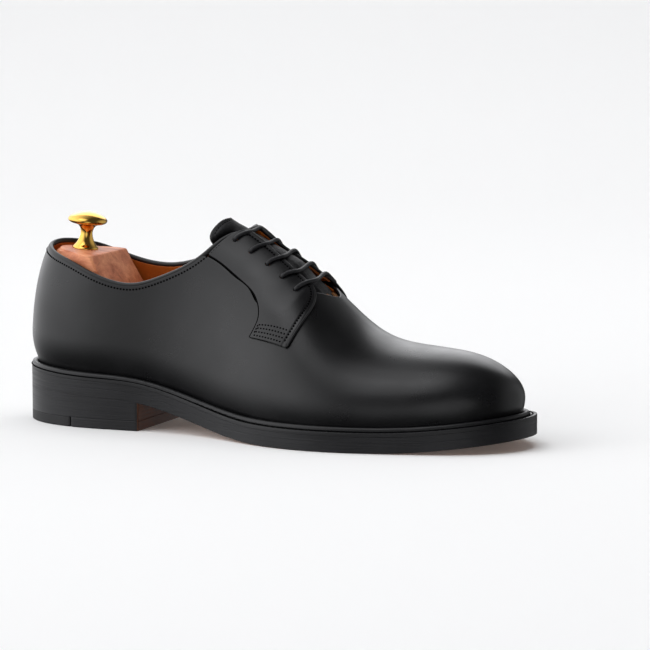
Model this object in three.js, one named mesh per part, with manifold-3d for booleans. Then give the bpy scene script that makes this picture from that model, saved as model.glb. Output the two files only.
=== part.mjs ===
// A plain-toe derby shoe for the right foot, with open lacing, a storm welt, a stacked leather heel and a
// cedar shoe tree in it. Millimetres. The toe points along +X, the outer side of the foot is -Y, up is +Z.
import * as THREE from "three";
import { mergeVertices } from "three/addons/utils/BufferGeometryUtils.js";
import Module from "manifold-3d";

const wasm = await Module();
wasm.setup();

// ---------------------------------------------------------------- driving dimensions
const GAP = 0.3; // clearance between pieces that touch
const EDGE_GAP = 0.5; // clearance where two curved edges run side by side

// The shape of the foot. The outline is the widest plan of the upper, from the heel round by the outer side.
const OUTLINE = [
  [0, 0], [13.5, -22.5], [46, -32.5], [84, -31], [122, -34.5], [162, -48], [200, -52], [236, -45],
  [266, -36], [288, -21], [296, -2], [290, 15], [270, 31], [240, 42], [204, 46], [166, 41], [126, 32],
  [86, 29], [46, 32], [13.5, 22.5],
];
const HEEL_CENTRE = 49; // the back of the upper is a dome about this x
const TOE_CENTRE = 242; // the front of the upper fans out from this x
const TOE_FALL = 254; // the ridge starts to fall towards the tip here
const TOE_SQUARENESS = 2.9; // superellipse power of that fall
const RIDGE = [
  [-5, 124], [50, 124], [85, 119], [117, 118], [145, 106], [175, 87.6], [205, 61], [235, 52.2],
  [260, 49.9], [280, 46.2], [293, 43],
];
const RIDGE_ACROSS = [[0, 0.5], [64, 0.5], [114, 0.53], [164, 0.55], [224, 0.53], [296, 0.5]];
const SIDE_POWER = [[0, 2.4], [64, 2.3], [114, 1.8], [154, 1.8], [204, 2], [254, 2.3], [296, 2.4]];
const TOP_POWER = [[0, 2.4], [64, 2.4], [114, 2], [154, 2], [204, 2.1], [254, 2.3], [296, 2.4]];
const FEATHER_INSET = [[0, 4], [60, 3.2], [150, 2.6], [296, 2.5]]; // how far the upper tucks in at the welt
const TUCK_HEIGHT = 18;

// The bottom: the underside of the sole above the ground, and the layers upwards from it.
const SOLE_LINE = [
  [0, 20.6], [44, 18.1], [80, 15.6], [114, 7.5], [144, 1.6], [174, 0.2], [204, 0.1], [239, 0.6],
  [274, 3.8], [304, 7.5],
];
const SOLE_MARGIN = [[0, 0], [34, 1], [114, 2.5], [164, 4.5], [204, 5.2], [254, 5], [304, 5.1]];
const OUTSOLE = 5;
const MIDSOLE_TOP = 8.6;
const SOLE_TOP = 10.9; // top of the welt's flange
const BEAD = 2; // the storm bead stands this far above the flange
const WELT_INSET = 9.2; // inner edge of the welt's flange
const CORK_INSET = 9.8;
const INSOLE = 3;
const SOCK = 1;

const HEEL_LENGTH = 80;
const TOP_PIECE = 5.7;
const LIFTS = 3;
const RUBBER_LENGTH = 38;
const NAIL_RADIUS = 1;
const NAIL_TOP = 12.5;
const NAIL_RECESS = 0.4;
const NAILS = [[14, 0], [25, -19], [25, 19], [62, -18], [62, 18]];

const SHANK = { from: 52, to: 150, halfWidth: 7, low: 9.2, high: 10.4 };

// The layers of the upper, as depths below the outer surface.
const LEATHER = 1.4;
const LINING = 1;
const STIFFENER = [1.9, 2.9];
const LINING_OVER_STIFFENER = 3.4;
const LINING_PLAIN = 2.2;
const PUFF_START = 238;
const COUNTER_END = 78;
const COUNTER_HEIGHT = 36;
const LINING_JOINT = 183; // the quarter lining meets the vamp lining here

// The topline, seen from each side, as [x, z] of the top of its binding.
const TOPLINE_OUTER = [
  [8, 102], [21, 97], [36, 92.5], [52, 86.3], [64, 82.8], [75, 82.1], [89, 86.2], [103, 92.7],
  [113.4, 100.2], [122.5, 108.8], [131, 111.9],
];
const TOPLINE_INNER = [
  [8, 102.6], [21, 100.6], [33, 97.2], [45, 92.8], [56, 89.8], [69, 88.4], [77, 88.7], [89, 91.2],
  [103, 96], [113.4, 101.4], [122.5, 108.8], [131, 111.9],
];
const BINDING_RADIUS = 1.4;
const BINDING_BELOW = 2 * BINDING_RADIUS + 2 * GAP; // the leather stops this far from the top of the binding

// The facings, as [x, z] along their rear seam and along their front edge, both from the top down.
const SEAM = [
  [116.5, 98.4], [121, 96.6], [128, 92.9], [137.2, 87.3], [147, 81], [151.8, 75.9], [154.2, 71.4],
  [154.9, 67], [153.8, 62.5], [151, 56.5],
];
const FRONT_EDGE = [
  [132.5, 110], [139, 107.1], [149, 101.9], [161, 94.6], [170.5, 87.8], [177.8, 81.4], [181, 75],
  [179.6, 66.6], [174.3, 52.6],
];
const THROAT = 187; // the vamp's top edge crosses the ridge here, and before that runs under a facing
const THROAT_EDGE = [[154.6, 66.7], [163, 65.5], [170, 69], [174.5, 75], [178.4, 80.8]];
const NOTCH = THROAT_EDGE[0][0]; // it starts from the bottom of the seam here
const FACING_STEP = 1.85; // how far a facing stands above the vamp that it overlaps
const EYELETS_OUTER = [[130, 106.1], [140.5, 100.6], [151.5, 94.6], [161.5, 88.3], [170.5, 81.7]];
const EYELETS_INNER = [[137.5, 102], [147.8, 96.6], [157.6, 90.8], [167, 84.8], [175, 79.4]];
const LACE_SLANT = 5.5; // how far each bar moves towards the toe over the outer facing
const eyelets = (side) => (side < 0 ? EYELETS_OUTER : EYELETS_INNER);
// How far the lacing edge of a facing stands up: along it, and more at its top corner.
const RISE = { outer: [0, 1.8], inner: [1, 2.8] };
const EYELET_RADIUS = 2.45;

const TONGUE = {
  rear: 119, front: 196, sideDepth: 7.3, middleDepth: 3.5, freeDepth: 0.6, thickness: 1.5, lining: 0.8,
};

const LACE_RADIUS = 1.2;
const LACE_SIDES = 8;
const LACE_UNDER = LINING_PLAIN + LINING + 2 * GAP + LACE_RADIUS; // depth of the lace under a facing

// The shoe tree.
const TUBE_HEIGHT = 46;
const TUBE = { from: 84, to: 186, outer: 7, inner: 5.6, wall: 3, inToe: 1.8 };
const ROD = { from: 46, to: 140, radius: 4.6 };
const MAIN_SPRING = { from: 141.2, to: 176.8, radius: 4.4, wire: 0.6, turns: 8 };
const CROSS_PIN = { x: 180.5, radius: 2.5, halfLength: 22 };
const TOE_SPRINGS = [[206, 34], [232, 30]];
const TOE_SPRING = { halfLength: 8, radius: 2.4, wire: 0.5, turns: 5 };
const TREE_REAR = 160;
const TREE_INSET = 7.5;
const TREE_DROP = 9.5; // below the ridge of the upper
const UNDER_TONGUE = 4.5; // further in where the tongue is above it
const TREE_SPLIT = 2; // half of the gap between the toe halves
const TREE_FLOOR = 0.8; // clearance above the sock lining
const BLOCK_LEAN = 0.1; // slope of the heel block's top face towards the toe
const BLOCK_TOP = [13, 98.2]; // [x, z] at the rear of that face
const KNOB = { x: 30.3, y: 3, hole: 1.9, holeDepth: 7, stud: 1.6, studDepth: 14 };

// ---------------------------------------------------------------- curves
// A natural cubic spline through [t, value] knots, held constant beyond its ends.
function spline(knots) {
  const last = knots.length - 1;
  const bend = new Array(knots.length).fill(0);
  for (let sweep = 0; sweep < 60; sweep++) {
    for (let i = 1; i < last; i++) {
      const before = knots[i][0] - knots[i - 1][0];
      const after = knots[i + 1][0] - knots[i][0];
      const kink = (knots[i + 1][1] - knots[i][1]) / after - (knots[i][1] - knots[i - 1][1]) / before;
      bend[i] = (6 * kink - before * bend[i - 1] - after * bend[i + 1]) / (2 * (before + after));
    }
  }
  return (t) => {
    const at = THREE.MathUtils.clamp(t, knots[0][0], knots[last][0]);
    let i = 0;
    while (i < last - 1 && at > knots[i + 1][0]) i++;
    const step = knots[i + 1][0] - knots[i][0];
    const a = knots[i + 1][0] - at;
    const b = at - knots[i][0];
    const cubic = (bend[i] * a ** 3 + bend[i + 1] * b ** 3) / (6 * step);
    const low = (knots[i][1] / step - (bend[i] * step) / 6) * a;
    const high = (knots[i + 1][1] / step - (bend[i + 1] * step) / 6) * b;
    return cubic + low + high;
  };
}

// The same spline through points, run by the square root of the chord.
function curveThrough(points) {
  let t = 0;
  const places = points.map((p, i) => {
    if (i) t += Math.sqrt(Math.hypot(p[0] - points[i - 1][0], p[1] - points[i - 1][1]));
    return t;
  });
  const x = spline(points.map((p, i) => [places[i], p[0]]));
  const y = spline(points.map((p, i) => [places[i], p[1]]));
  return { places, at: (s) => [x(s), y(s)] };
}

const ridgeHeight = spline(RIDGE);
const ridgeAcross = spline(RIDGE_ACROSS);
const sidePower = spline(SIDE_POWER);
const topPower = spline(TOP_POWER);
const featherInset = spline(FEATHER_INSET);
const soleLine = spline(SOLE_LINE);
const soleMargin = spline(SOLE_MARGIN);
const toplineOuter = spline(TOPLINE_OUTER);
const toplineInner = spline(TOPLINE_INNER);
const soleTop = (x) => soleLine(x) + SOLE_TOP;
const featherHeight = (x) => soleTop(x) + BEAD;
const sockTop = (x) => soleTop(x) + INSOLE + SOCK + 2 * GAP;
const smooth = (t) => THREE.MathUtils.smoothstep(t, 0, 1);

// ---------------------------------------------------------------- the outline and offsets of it
const SAMPLES = 600;
const outline = closedOutline(OUTLINE);
const tipIndex = outline.reduce((best, p, i) => (p.x > outline[best].x ? i : best), 0);
const tipX = outline[tipIndex].x;

function closedOutline(points) {
  const curve = curveThrough([...points, ...points, ...points, points[0]]);
  const start = curve.places[points.length];
  const period = curve.places[2 * points.length] - start;
  const ring = Array.from({ length: SAMPLES }, (_, i) => {
    const [x, y] = curve.at(start + (period * i) / SAMPLES);
    return { x, y };
  });
  return ring.map((p, i) => {
    const before = ring[(i + SAMPLES - 1) % SAMPLES];
    const after = ring[(i + 1) % SAMPLES];
    const length = Math.hypot(after.x - before.x, after.y - before.y);
    return { ...p, nx: (after.y - before.y) / length, ny: (before.x - after.x) / length };
  });
}

// The outline at a place, a count of samples from the heel by the outer side.
function outlineAt(place) {
  const wrapped = ((place % SAMPLES) + SAMPLES) % SAMPLES;
  const i = Math.floor(wrapped);
  const t = wrapped - i;
  const a = outline[i];
  const b = outline[(i + 1) % SAMPLES];
  const mix = (key) => a[key] * (1 - t) + b[key] * t;
  return { x: mix("x"), y: mix("y"), nx: mix("nx"), ny: mix("ny") };
}

// The place on one side of the outline that has this x; side is -1 for outer and 1 for inner.
function placeAt(x, side) {
  let low = side < 0 ? 0 : SAMPLES;
  let high = tipIndex;
  for (let i = 0; i < 50; i++) {
    const middle = (low + high) / 2;
    if (outlineAt(middle).x < x) low = middle;
    else high = middle;
  }
  return (low + high) / 2;
}

// A plan shape: the outline moved outwards by margin(x), as two sides that are functions of x.
function plan(margin) {
  const moved = outline.map((p) => [p.x + p.nx * margin(p.x), p.y + p.ny * margin(p.x)]);
  const sideOf = (points) => {
    const sorted = [...points].sort((a, b) => a[0] - b[0]);
    return (x) => {
      let i = 0;
      while (i < sorted.length - 2 && sorted[i + 1][0] < x) i++;
      const [[x0, y0], [x1, y1]] = [sorted[i], sorted[i + 1]];
      return x1 > x0 ? y0 + ((y1 - y0) * (x - x0)) / (x1 - x0) : y0;
    };
  };
  const rear = moved.reduce((best, p) => (p[0] < best[0] ? p : best));
  const front = moved.reduce((best, p) => (p[0] > best[0] ? p : best));
  const outer = sideOf([rear, ...moved.slice(0, tipIndex + 1), front]);
  const inner = sideOf([rear, ...moved.slice(tipIndex), front]);
  return { rear: rear[0], front: front[0], outer, inner };
}

const footPlan = plan(() => 0);
const solePlan = plan(soleMargin);
const ridgeY = (x) => footPlan.outer(x) + ridgeAcross(x) * (footPlan.inner(x) - footPlan.outer(x));

// ---------------------------------------------------------------- the outer surface of the upper
function ridgeZ(x) {
  const t = THREE.MathUtils.clamp((x - TOE_FALL) / (tipX - TOE_FALL), 0, 1);
  const open = ridgeHeight(Math.max(x, HEEL_CENTRE)) - featherHeight(x);
  return featherHeight(x) + open * (1 - t ** TOE_SQUARENESS) ** (1 / TOE_SQUARENESS);
}

// v runs from 0 at the welt to 1 at the ridge.
function form(place, v) {
  const foot = outlineAt(place);
  const spineX = THREE.MathUtils.clamp(foot.x, HEEL_CENTRE, TOE_CENTRE);
  const spineY = ridgeY(spineX);
  const reach = Math.sin(((1 - v) * Math.PI) / 2) ** (2 / sidePower(foot.x));
  const x = spineX + reach * (foot.x - spineX);
  const y = spineY + reach * (foot.y - spineY);
  const inHeel = foot.x < HEEL_CENTRE;
  const half = Math.abs((y < ridgeY(x) ? footPlan.outer(x) : footPlan.inner(x)) - ridgeY(x));
  const across = inHeel ? reach : Math.min(Math.abs(y - ridgeY(x)) / Math.max(half, 1e-6), 1);
  const at = inHeel ? HEEL_CENTRE : x;
  const rise = Math.max(1 - across ** sidePower(at), 0) ** (1 / topPower(at));
  const z = featherHeight(x) + (ridgeZ(x) - featherHeight(x)) * rise;
  const above = z - featherHeight(foot.x);
  const tuck = featherInset(foot.x) * THREE.MathUtils.clamp(1 - above / TUCK_HEIGHT, 0, 1) ** 2;
  return new THREE.Vector3(x - tuck * foot.nx, y - tuck * foot.ny, z);
}

function outward(place, v) {
  if (v > 0.985) {
    const x = form(place, v).x;
    return new THREE.Vector3(ridgeZ(x - 0.5) - ridgeZ(x + 0.5), 0, 1).normalize();
  }
  const along = form(place + 0.5, v).sub(form(place - 0.5, v));
  const up = form(place, Math.min(v + 0.01, 1)).sub(form(place, Math.max(v - 0.01, 0)));
  return along.cross(up).normalize();
}

function skin(place, v, depth) {
  return form(place, v).addScaledVector(outward(place, v), -depth);
}

// The v of a height on the flank at x, between the two fans.
function flankV(x, z) {
  const rise = THREE.MathUtils.clamp((z - featherHeight(x)) / (ridgeZ(x) - featherHeight(x)), 0, 1);
  return 1 - (2 / Math.PI) * Math.acos(rise ** (topPower(x) / 2));
}

// The v at which a column reaches a height given as a function of its point.
function heightV(place, height) {
  let low = 0;
  let high = 1;
  for (let i = 0; i < 40; i++) {
    const v = (low + high) / 2;
    const p = form(place, v);
    if (p.z < height(p)) low = v;
    else high = v;
  }
  return low;
}

function topline(p) {
  const inner = smooth((p.y + 8) / 16);
  return toplineOuter(p.x) * (1 - inner) + toplineInner(p.x) * inner;
}

// Points along the topline, from its front end on one side round the heel to the other.
const TOPLINE_END = 131;
const toplinePoints = [];
for (let place = placeAt(TOPLINE_END, 1) - SAMPLES; place < placeAt(TOPLINE_END, -1); place += 0.5) {
  toplinePoints.push(form(place, heightV(place, topline)));
}

// ---------------------------------------------------------------- mesh tools
function geometryOf(triangles) {
  const positions = [];
  for (const [a, b, c] of triangles) {
    const flat = a.distanceTo(b) < 2e-3 || b.distanceTo(c) < 2e-3 || c.distanceTo(a) < 2e-3;
    if (!flat) positions.push(...a.toArray(), ...b.toArray(), ...c.toArray());
  }
  const geometry = new THREE.BufferGeometry();
  geometry.setAttribute("position", new THREE.Float32BufferAttribute(positions, 3));
  return mergeVertices(geometry, 1e-3);
}

const quad = (a, b, c, d) => [[a, b, c], [a, c, d]];

// A solid between two grids of columns. Where both columns are joined over the ridge, the top has no rim.
function shell(outerGrid, innerGrid, joined, wraps) {
  const faces = [];
  const count = outerGrid.length;
  const top = outerGrid[0].length - 1;
  for (let i = 0; i < (wraps ? count : count - 1); i++) {
    const k = (i + 1) % count;
    const [o, p, q, r] = [outerGrid[i], outerGrid[k], innerGrid[i], innerGrid[k]];
    for (let j = 0; j < top; j++) {
      faces.push(...quad(o[j], p[j], p[j + 1], o[j + 1]));
      faces.push(...quad(q[j], q[j + 1], r[j + 1], r[j]));
    }
    faces.push(...quad(o[0], q[0], r[0], p[0]));
    if (!(joined[i] && joined[k])) faces.push(...quad(o[top], p[top], r[top], q[top]));
  }
  if (!wraps) {
    const [o, q] = [outerGrid[0], innerGrid[0]];
    const [p, r] = [outerGrid[count - 1], innerGrid[count - 1]];
    for (let j = 0; j < top; j++) {
      faces.push(...quad(o[j], o[j + 1], q[j + 1], q[j]));
      faces.push(...quad(p[j], r[j], r[j + 1], p[j + 1]));
    }
  }
  return geometryOf(faces);
}

// A solid through rings of points, closed by a fan at each end.
function loft(rings) {
  const faces = [];
  const size = rings[0].length;
  rings.slice(1).forEach((ring, i) => {
    for (let j = 0; j < size; j++) {
      const k = (j + 1) % size;
      faces.push(...quad(rings[i][j], rings[i][k], ring[k], ring[j]));
    }
  });
  const cap = (ring, flip) => {
    const middle = new THREE.Vector3();
    ring.forEach((p) => middle.addScaledVector(p, 1 / size));
    ring.forEach((p, j) => {
      const next = ring[(j + 1) % size];
      faces.push(flip ? [middle, next, p] : [middle, p, next]);
    });
  };
  cap(rings[0], true);
  cap(rings[rings.length - 1], false);
  return geometryOf(faces);
}

// A ring of one section carried round the outline; section(p) gives [margin, height above the sole line].
function ringSolid(count, section) {
  const rings = Array.from({ length: count }, (_, i) => {
    const p = outlineAt((i * SAMPLES) / count);
    return section(p).map(([m, h]) => {
      const x = p.x + p.nx * m;
      return new THREE.Vector3(x, p.y + p.ny * m, soleLine(x) + h);
    });
  });
  const faces = [];
  rings.forEach((ring, i) => {
    const next = rings[(i + 1) % count];
    ring.forEach((point, j) => {
      const k = (j + 1) % ring.length;
      faces.push(...quad(point, next[j], next[k], ring[k]));
    });
  });
  return geometryOf(faces);
}

// A layer of the bottom: a plan shape between two heights that follow x.
function plate(shape, from, to, low, high, steps) {
  const [rear, front] = [Math.max(from, shape.rear), Math.min(to, shape.front)];
  const rings = Array.from({ length: steps + 1 }, (_, i) => {
    const x = rear + ((front - rear) * (1 - Math.cos((Math.PI * i) / steps))) / 2;
    const [outer, inner] = [shape.outer(x), shape.inner(x)];
    const corner = (y, z) => new THREE.Vector3(x, y, z);
    return [corner(outer, low(x)), corner(inner, low(x)), corner(inner, high(x)), corner(outer, high(x))];
  });
  const faces = [];
  rings.slice(1).forEach((next, i) => {
    const ring = rings[i];
    for (let j = 0; j < 4; j++) {
      const k = (j + 1) % 4;
      faces.push(...quad(ring[j], ring[k], next[k], next[j]));
    }
  });
  const end = rings[steps];
  faces.push(...quad(rings[0][3], rings[0][2], rings[0][1], rings[0][0]), ...quad(...end));
  return geometryOf(faces);
}

function tube(points, radius, sides, steps) {
  const circle = Array.from({ length: sides }, (_, i) => {
    const turn = (i * 2 * Math.PI) / sides;
    return new THREE.Vector2(radius * Math.cos(turn), radius * Math.sin(turn));
  });
  const path = new THREE.CatmullRomCurve3(points, false, "centripetal");
  return new THREE.ExtrudeGeometry(new THREE.Shape(circle), { steps, extrudePath: path });
}

function rod(radius, length, sides) {
  return new THREE.CylinderGeometry(radius, radius, length, sides);
}

function solidOf(geometry) {
  const plain = geometry.index ? geometry.toNonIndexed() : geometry.clone();
  plain.deleteAttribute("normal");
  plain.deleteAttribute("uv");
  const merged = mergeVertices(plain, 1e-3);
  const vertProperties = merged.attributes.position.array;
  return new wasm.Manifold(
    new wasm.Mesh({ numProp: 3, vertProperties, triVerts: new Uint32Array(merged.index.array) }),
  );
}

function cut(geometry, cutters) {
  const made = cutters.reduce((solid, cutter) => solid.subtract(solidOf(cutter)), solidOf(geometry));
  const mesh = made.getMesh();
  const result = new THREE.BufferGeometry();
  result.setAttribute("position", new THREE.BufferAttribute(mesh.vertProperties, 3));
  result.setIndex(new THREE.BufferAttribute(mesh.triVerts, 1));
  return result;
}

// ---------------------------------------------------------------- materials
const finish = (color, roughness, metalness = 0) =>
  new THREE.MeshStandardMaterial({ color, roughness, metalness });
const blackLeather = () => finish(0x232427, 0.4);
const blackEdge = () => finish(0x1d1d20, 0.45);
const tanLeather = () => finish(0xb87a45, 0.6);
const soleLeather = () => finish(0x8a5a3a, 0.6);
const cedar = () => finish(0xc98f72, 0.55);
const brass = () => finish(0xd9a62e, 0.15, 1);
const steel = () => finish(0x9a9a9c, 0.35, 1);

const shoe = new THREE.Group();
function add(name, geometry, material, parent = shoe) {
  const mesh = new THREE.Mesh(geometry, material);
  mesh.name = name;
  parent.add(mesh);
  return mesh;
}

// ---------------------------------------------------------------- heel and sole
function addHeel() {
  const holes = NAILS.map(([x, y]) =>
    rod(NAIL_RADIUS + GAP, 2 * (NAIL_TOP + GAP), 10).rotateX(Math.PI / 2).translate(x, y, 0),
  );
  const ground = () => 0;
  const rubber = plate(solePlan, 0, RUBBER_LENGTH, ground, () => TOP_PIECE, 14);
  const front = plate(solePlan, RUBBER_LENGTH + GAP, HEEL_LENGTH, ground, () => TOP_PIECE, 6);
  add("top_piece_rubber", cut(rubber, holes), finish(0x1b1b1c, 0.7));
  add("top_piece_leather", cut(front, holes), blackEdge());
  const level = (x, k) => {
    const start = TOP_PIECE + GAP;
    return start + ((soleLine(x) - start) * k) / LIFTS;
  };
  for (let k = 0; k < LIFTS; k++) {
    const low = (x) => level(x, k);
    const high = (x) => level(x, k + 1) - GAP;
    const lift = plate(solePlan, 0, HEEL_LENGTH, low, high, 18);
    add(`heel_lift_${k + 1}`, k < LIFTS - 1 ? cut(lift, holes) : lift, blackEdge());
  }
  NAILS.forEach(([x, y], i) => {
    const length = NAIL_TOP - NAIL_RECESS;
    const nail = add(`heel_nail_${i + 1}`, rod(NAIL_RADIUS, length, 10), brass());
    nail.rotation.x = Math.PI / 2;
    nail.position.set(x, y, NAIL_RECESS + length / 2);
  });
}

function addSole() {
  const above = (height) => (x) => soleLine(x) + height;
  const layer = (low, high, shape) => plate(shape, -50, 400, above(low), above(high), 36);
  add("outsole", layer(0, OUTSOLE, solePlan), soleLeather());
  add("midsole", layer(OUTSOLE + GAP, MIDSOLE_TOP, solePlan), blackEdge());
  add("welt", weltGeometry(), blackEdge());
  const slotPlan = {
    rear: SHANK.from - GAP,
    front: SHANK.to + GAP,
    outer: () => -SHANK.halfWidth - GAP,
    inner: () => SHANK.halfWidth + GAP,
  };
  const slot = plate(slotPlan, 0, 400, above(MIDSOLE_TOP - 1), above(SOLE_TOP + 1), 24);
  const cork = layer(MIDSOLE_TOP + GAP, SOLE_TOP, plan(() => -CORK_INSET));
  add("cork_filler", cut(cork, [slot]), finish(0xa97b50, 0.9));
  const shankPlan = {
    rear: SHANK.from,
    front: SHANK.to,
    outer: () => -SHANK.halfWidth,
    inner: () => SHANK.halfWidth,
  };
  add("shank", plate(shankPlan, 0, 400, above(SHANK.low), above(SHANK.high), 24), steel());
  const insolePlan = plan((x) => -featherInset(x) - LINING_OVER_STIFFENER - LINING - 2 * GAP);
  const insoleLow = SOLE_TOP + GAP;
  add("insole", layer(insoleLow, insoleLow + INSOLE, insolePlan), tanLeather());
  const sockLow = insoleLow + INSOLE + GAP;
  add("sock_lining", layer(sockLow, sockLow + SOCK, insolePlan), tanLeather());
}

// The flange of the welt with its rounded storm bead against the upper.
function weltGeometry() {
  return ringSolid(90, (p) => {
    const margin = soleMargin(p.x);
    const low = MIDSOLE_TOP + GAP;
    const root = -featherInset(p.x) + EDGE_GAP;
    const outer = Math.min(1, margin - 0.2);
    return [
      [-WELT_INSET, low], [margin, low], [margin, SOLE_TOP], [outer, SOLE_TOP], [outer, SOLE_TOP + 1.2],
      [(root + outer) / 2, SOLE_TOP + BEAD + 0.2], [root, SOLE_TOP + 1.4], [root, SOLE_TOP],
      [-WELT_INSET, SOLE_TOP],
    ];
  });
}

// ---------------------------------------------------------------- columns of the upper
const FLANK_STATIONS = [
  49, 61, 73, 85, 97, 107, 116, 119, 128, 137, 146, 151, 154.6, 162, 168, 172, 174.5, 176.5,
  178.4, 180.5, 182.5, 185, 186.5, 187, 198, 212, 227, 242,
];
const HEEL_COLUMNS = 11;
const TOE_COLUMNS = 13;
const ROWS = 7;

// Places from the inner side of the heel, round the back, along the outer side and round the toe.
function fan(from, to, count) {
  return Array.from({ length: count - 1 }, (_, i) => from + ((to - from) * (i + 1)) / count);
}
const heelFan = fan(placeAt(HEEL_CENTRE, 1) - SAMPLES, placeAt(HEEL_CENTRE, -1), HEEL_COLUMNS);
const toeFan = fan(placeAt(TOE_CENTRE, -1), placeAt(TOE_CENTRE, 1), TOE_COLUMNS);

const throatEdge = spline(THROAT_EDGE.map(([x, z]) => [x, flankV(x, z)]).concat([[182.5, 0.95], [THROAT, 1]]));
const throatV = (x) => Math.min(throatEdge(x), 1);
const seamHeight = spline(SEAM.slice(0, 8).map(([x, z]) => [x - EDGE_GAP, z - EDGE_GAP]));

// How far up the leather of the vamp and quarters goes on a flank.
function bodyTop(x, side) {
  if (x >= THROAT) return 1;
  if (x > NOTCH) return throatV(x);
  return Math.min(flankV(x, seamHeight(x)), rimV(placeAt(x, side), BINDING_BELOW));
}

// The v at which a column is this far below the topline, measured over the surface.
function rimV(place, below) {
  const top = heightV(place, topline);
  let [low, high] = [top - 0.3, top];
  for (let i = 0; i < 20; i++) {
    const v = (low + high) / 2;
    const p = form(place, v);
    if (toplinePoints.every((q) => p.distanceTo(q) > below)) low = v;
    else high = v;
  }
  return low;
}

// All columns round the shoe, each with the v of its top edge.
function columns(stations, topOf) {
  const flank = (side) =>
    stations.map((x) => ({ place: placeAt(x, side), top: topOf(x, side), joined: x >= THROAT }));
  const back = heelFan.map((place) => ({ place, top: rimV(place, BINDING_BELOW), joined: false }));
  const toe = toeFan.map((place) => ({ place, top: 1, joined: true }));
  return [...back, ...flank(-1), ...toe, ...flank(1).reverse()];
}

// One column of points from the welt's flange up to the column's top edge.
function columnPoints(column, depth) {
  const points = Array.from({ length: ROWS + 1 }, (_, j) => {
    const v = column.top * (j / ROWS) ** 1.2;
    return skin(column.place, v, depth(form(column.place, v)));
  });
  const foot = points[0].clone();
  foot.z = soleTop(foot.x) + GAP;
  return [foot, ...points];
}

function layerOf(list, outerDepth, innerDepth, wraps) {
  const outer = list.map((column) => columnPoints(column, outerDepth));
  const inner = list.map((column) => columnPoints(column, innerDepth));
  return shell(outer, inner, list.map((column) => column.joined), wraps);
}

// The lining lies against the leather, and further in where a stiffener is between them.
function liningDepth(p) {
  const counter = smooth((96 - p.x) / 14) * smooth((featherHeight(p.x) + COUNTER_HEIGHT + 14 - p.z) / 12);
  const puff = smooth((p.x - 222) / 12);
  return LINING_PLAIN + (LINING_OVER_STIFFENER - LINING_PLAIN) * Math.max(counter, puff);
}

function addUpper() {
  const body = columns(FLANK_STATIONS, bodyTop);
  add("vamp_and_quarters", layerOf(body, () => 0, () => LEATHER, true), blackLeather());

  const toe = [
    ...FLANK_STATIONS.filter((x) => x > PUFF_START).map((x) => placeAt(x, -1)),
    ...toeFan,
    ...FLANK_STATIONS.filter((x) => x > PUFF_START).map((x) => placeAt(x, 1)),
  ].map((place) => ({ place, top: 1, joined: true }));
  const puff = layerOf(toe, () => STIFFENER[0], () => STIFFENER[1], false);
  add("toe_puff", puff, finish(0x8d7a62, 0.9));

  const counterStations = FLANK_STATIONS.filter((x) => x < COUNTER_END);
  const counterTop = (p) => featherHeight(p.x) + COUNTER_HEIGHT;
  const counterPlaces = [
    ...counterStations.map((x) => placeAt(x, 1) - SAMPLES).reverse(),
    ...heelFan,
    ...counterStations.map((x) => placeAt(x, -1)),
  ];
  const counterColumns = counterPlaces.map((place) => ({ place, top: heightV(place, counterTop) }));
  const counter = layerOf(counterColumns, () => STIFFENER[0], () => STIFFENER[1], false);
  add("heel_counter", counter, finish(0x9a7a55, 0.9));
}

// ---------------------------------------------------------------- facings
const SEAM_CURVE = curveThrough(SEAM);
const EDGE_CURVE = curveThrough(FRONT_EDGE);
const along = (curve, t) => curve.at(curve.places[curve.places.length - 1] * t);

// A facing stands proud where it overlaps the vamp, and lies flush above the vamp's throat.
function facingLift(x, z) {
  const throat = x > NOTCH ? form(placeAt(x, -1), throatV(Math.min(x, THROAT))).z : SEAM[7][1];
  return FACING_STEP * smooth((throat + 20 - z) / 17);
}

// How far the facing stands up towards its lacing edge. s runs from the seam to that edge, and t along it.
function edgeRise(side, s, t) {
  const [edge, corner] = side < 0 ? RISE.outer : RISE.inner;
  return smooth((s - 0.3) / 0.7) * (edge * smooth((0.75 - t) / 0.3) + corner * smooth((0.3 - t) / 0.3));
}

function facingGeometry(side) {
  const rows = 14;
  const across = 7;
  const grid = (depth) =>
    Array.from({ length: across + 1 }, (_, i) =>
      Array.from({ length: rows + 1 }, (_, j) => {
        const t = 1 - j / rows;
        const [seamX, seamZ] = along(SEAM_CURVE, t);
        const [edgeX, edgeZ] = along(EDGE_CURVE, t);
        const s = i / across;
        const x = seamX + (edgeX - seamX) * s;
        const v = flankV(seamX, seamZ) * (1 - s) + flankV(edgeX, edgeZ) * s;
        const place = placeAt(x, side);
        return skin(place, v, depth - facingLift(x, form(place, v).z) - edgeRise(side, s, t));
      }),
    );
  const [outer, inner] = [grid(0), grid(LEATHER)];
  const joined = outer.map(() => false);
  return side < 0 ? shell(outer, inner, joined, false) : shell(outer.reverse(), inner.reverse(), joined, false);
}

function eyeletHoles(side) {
  return eyelets(side).map(([x, z]) => {
    const [place, v] = [placeAt(x, side), flankV(x, z)];
    const hole = new THREE.Object3D();
    hole.position.copy(skin(place, v, 1));
    hole.quaternion.setFromUnitVectors(new THREE.Vector3(0, 1, 0), outward(place, v));
    hole.updateMatrix();
    return rod(EYELET_RADIUS, 8, 12).applyMatrix4(hole.matrix);
  });
}

function addFacings() {
  [["facing_lateral", -1], ["facing_medial", 1]].forEach(([name, side]) => {
    add(name, cut(facingGeometry(side), eyeletHoles(side)), blackLeather());
  });
}

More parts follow.
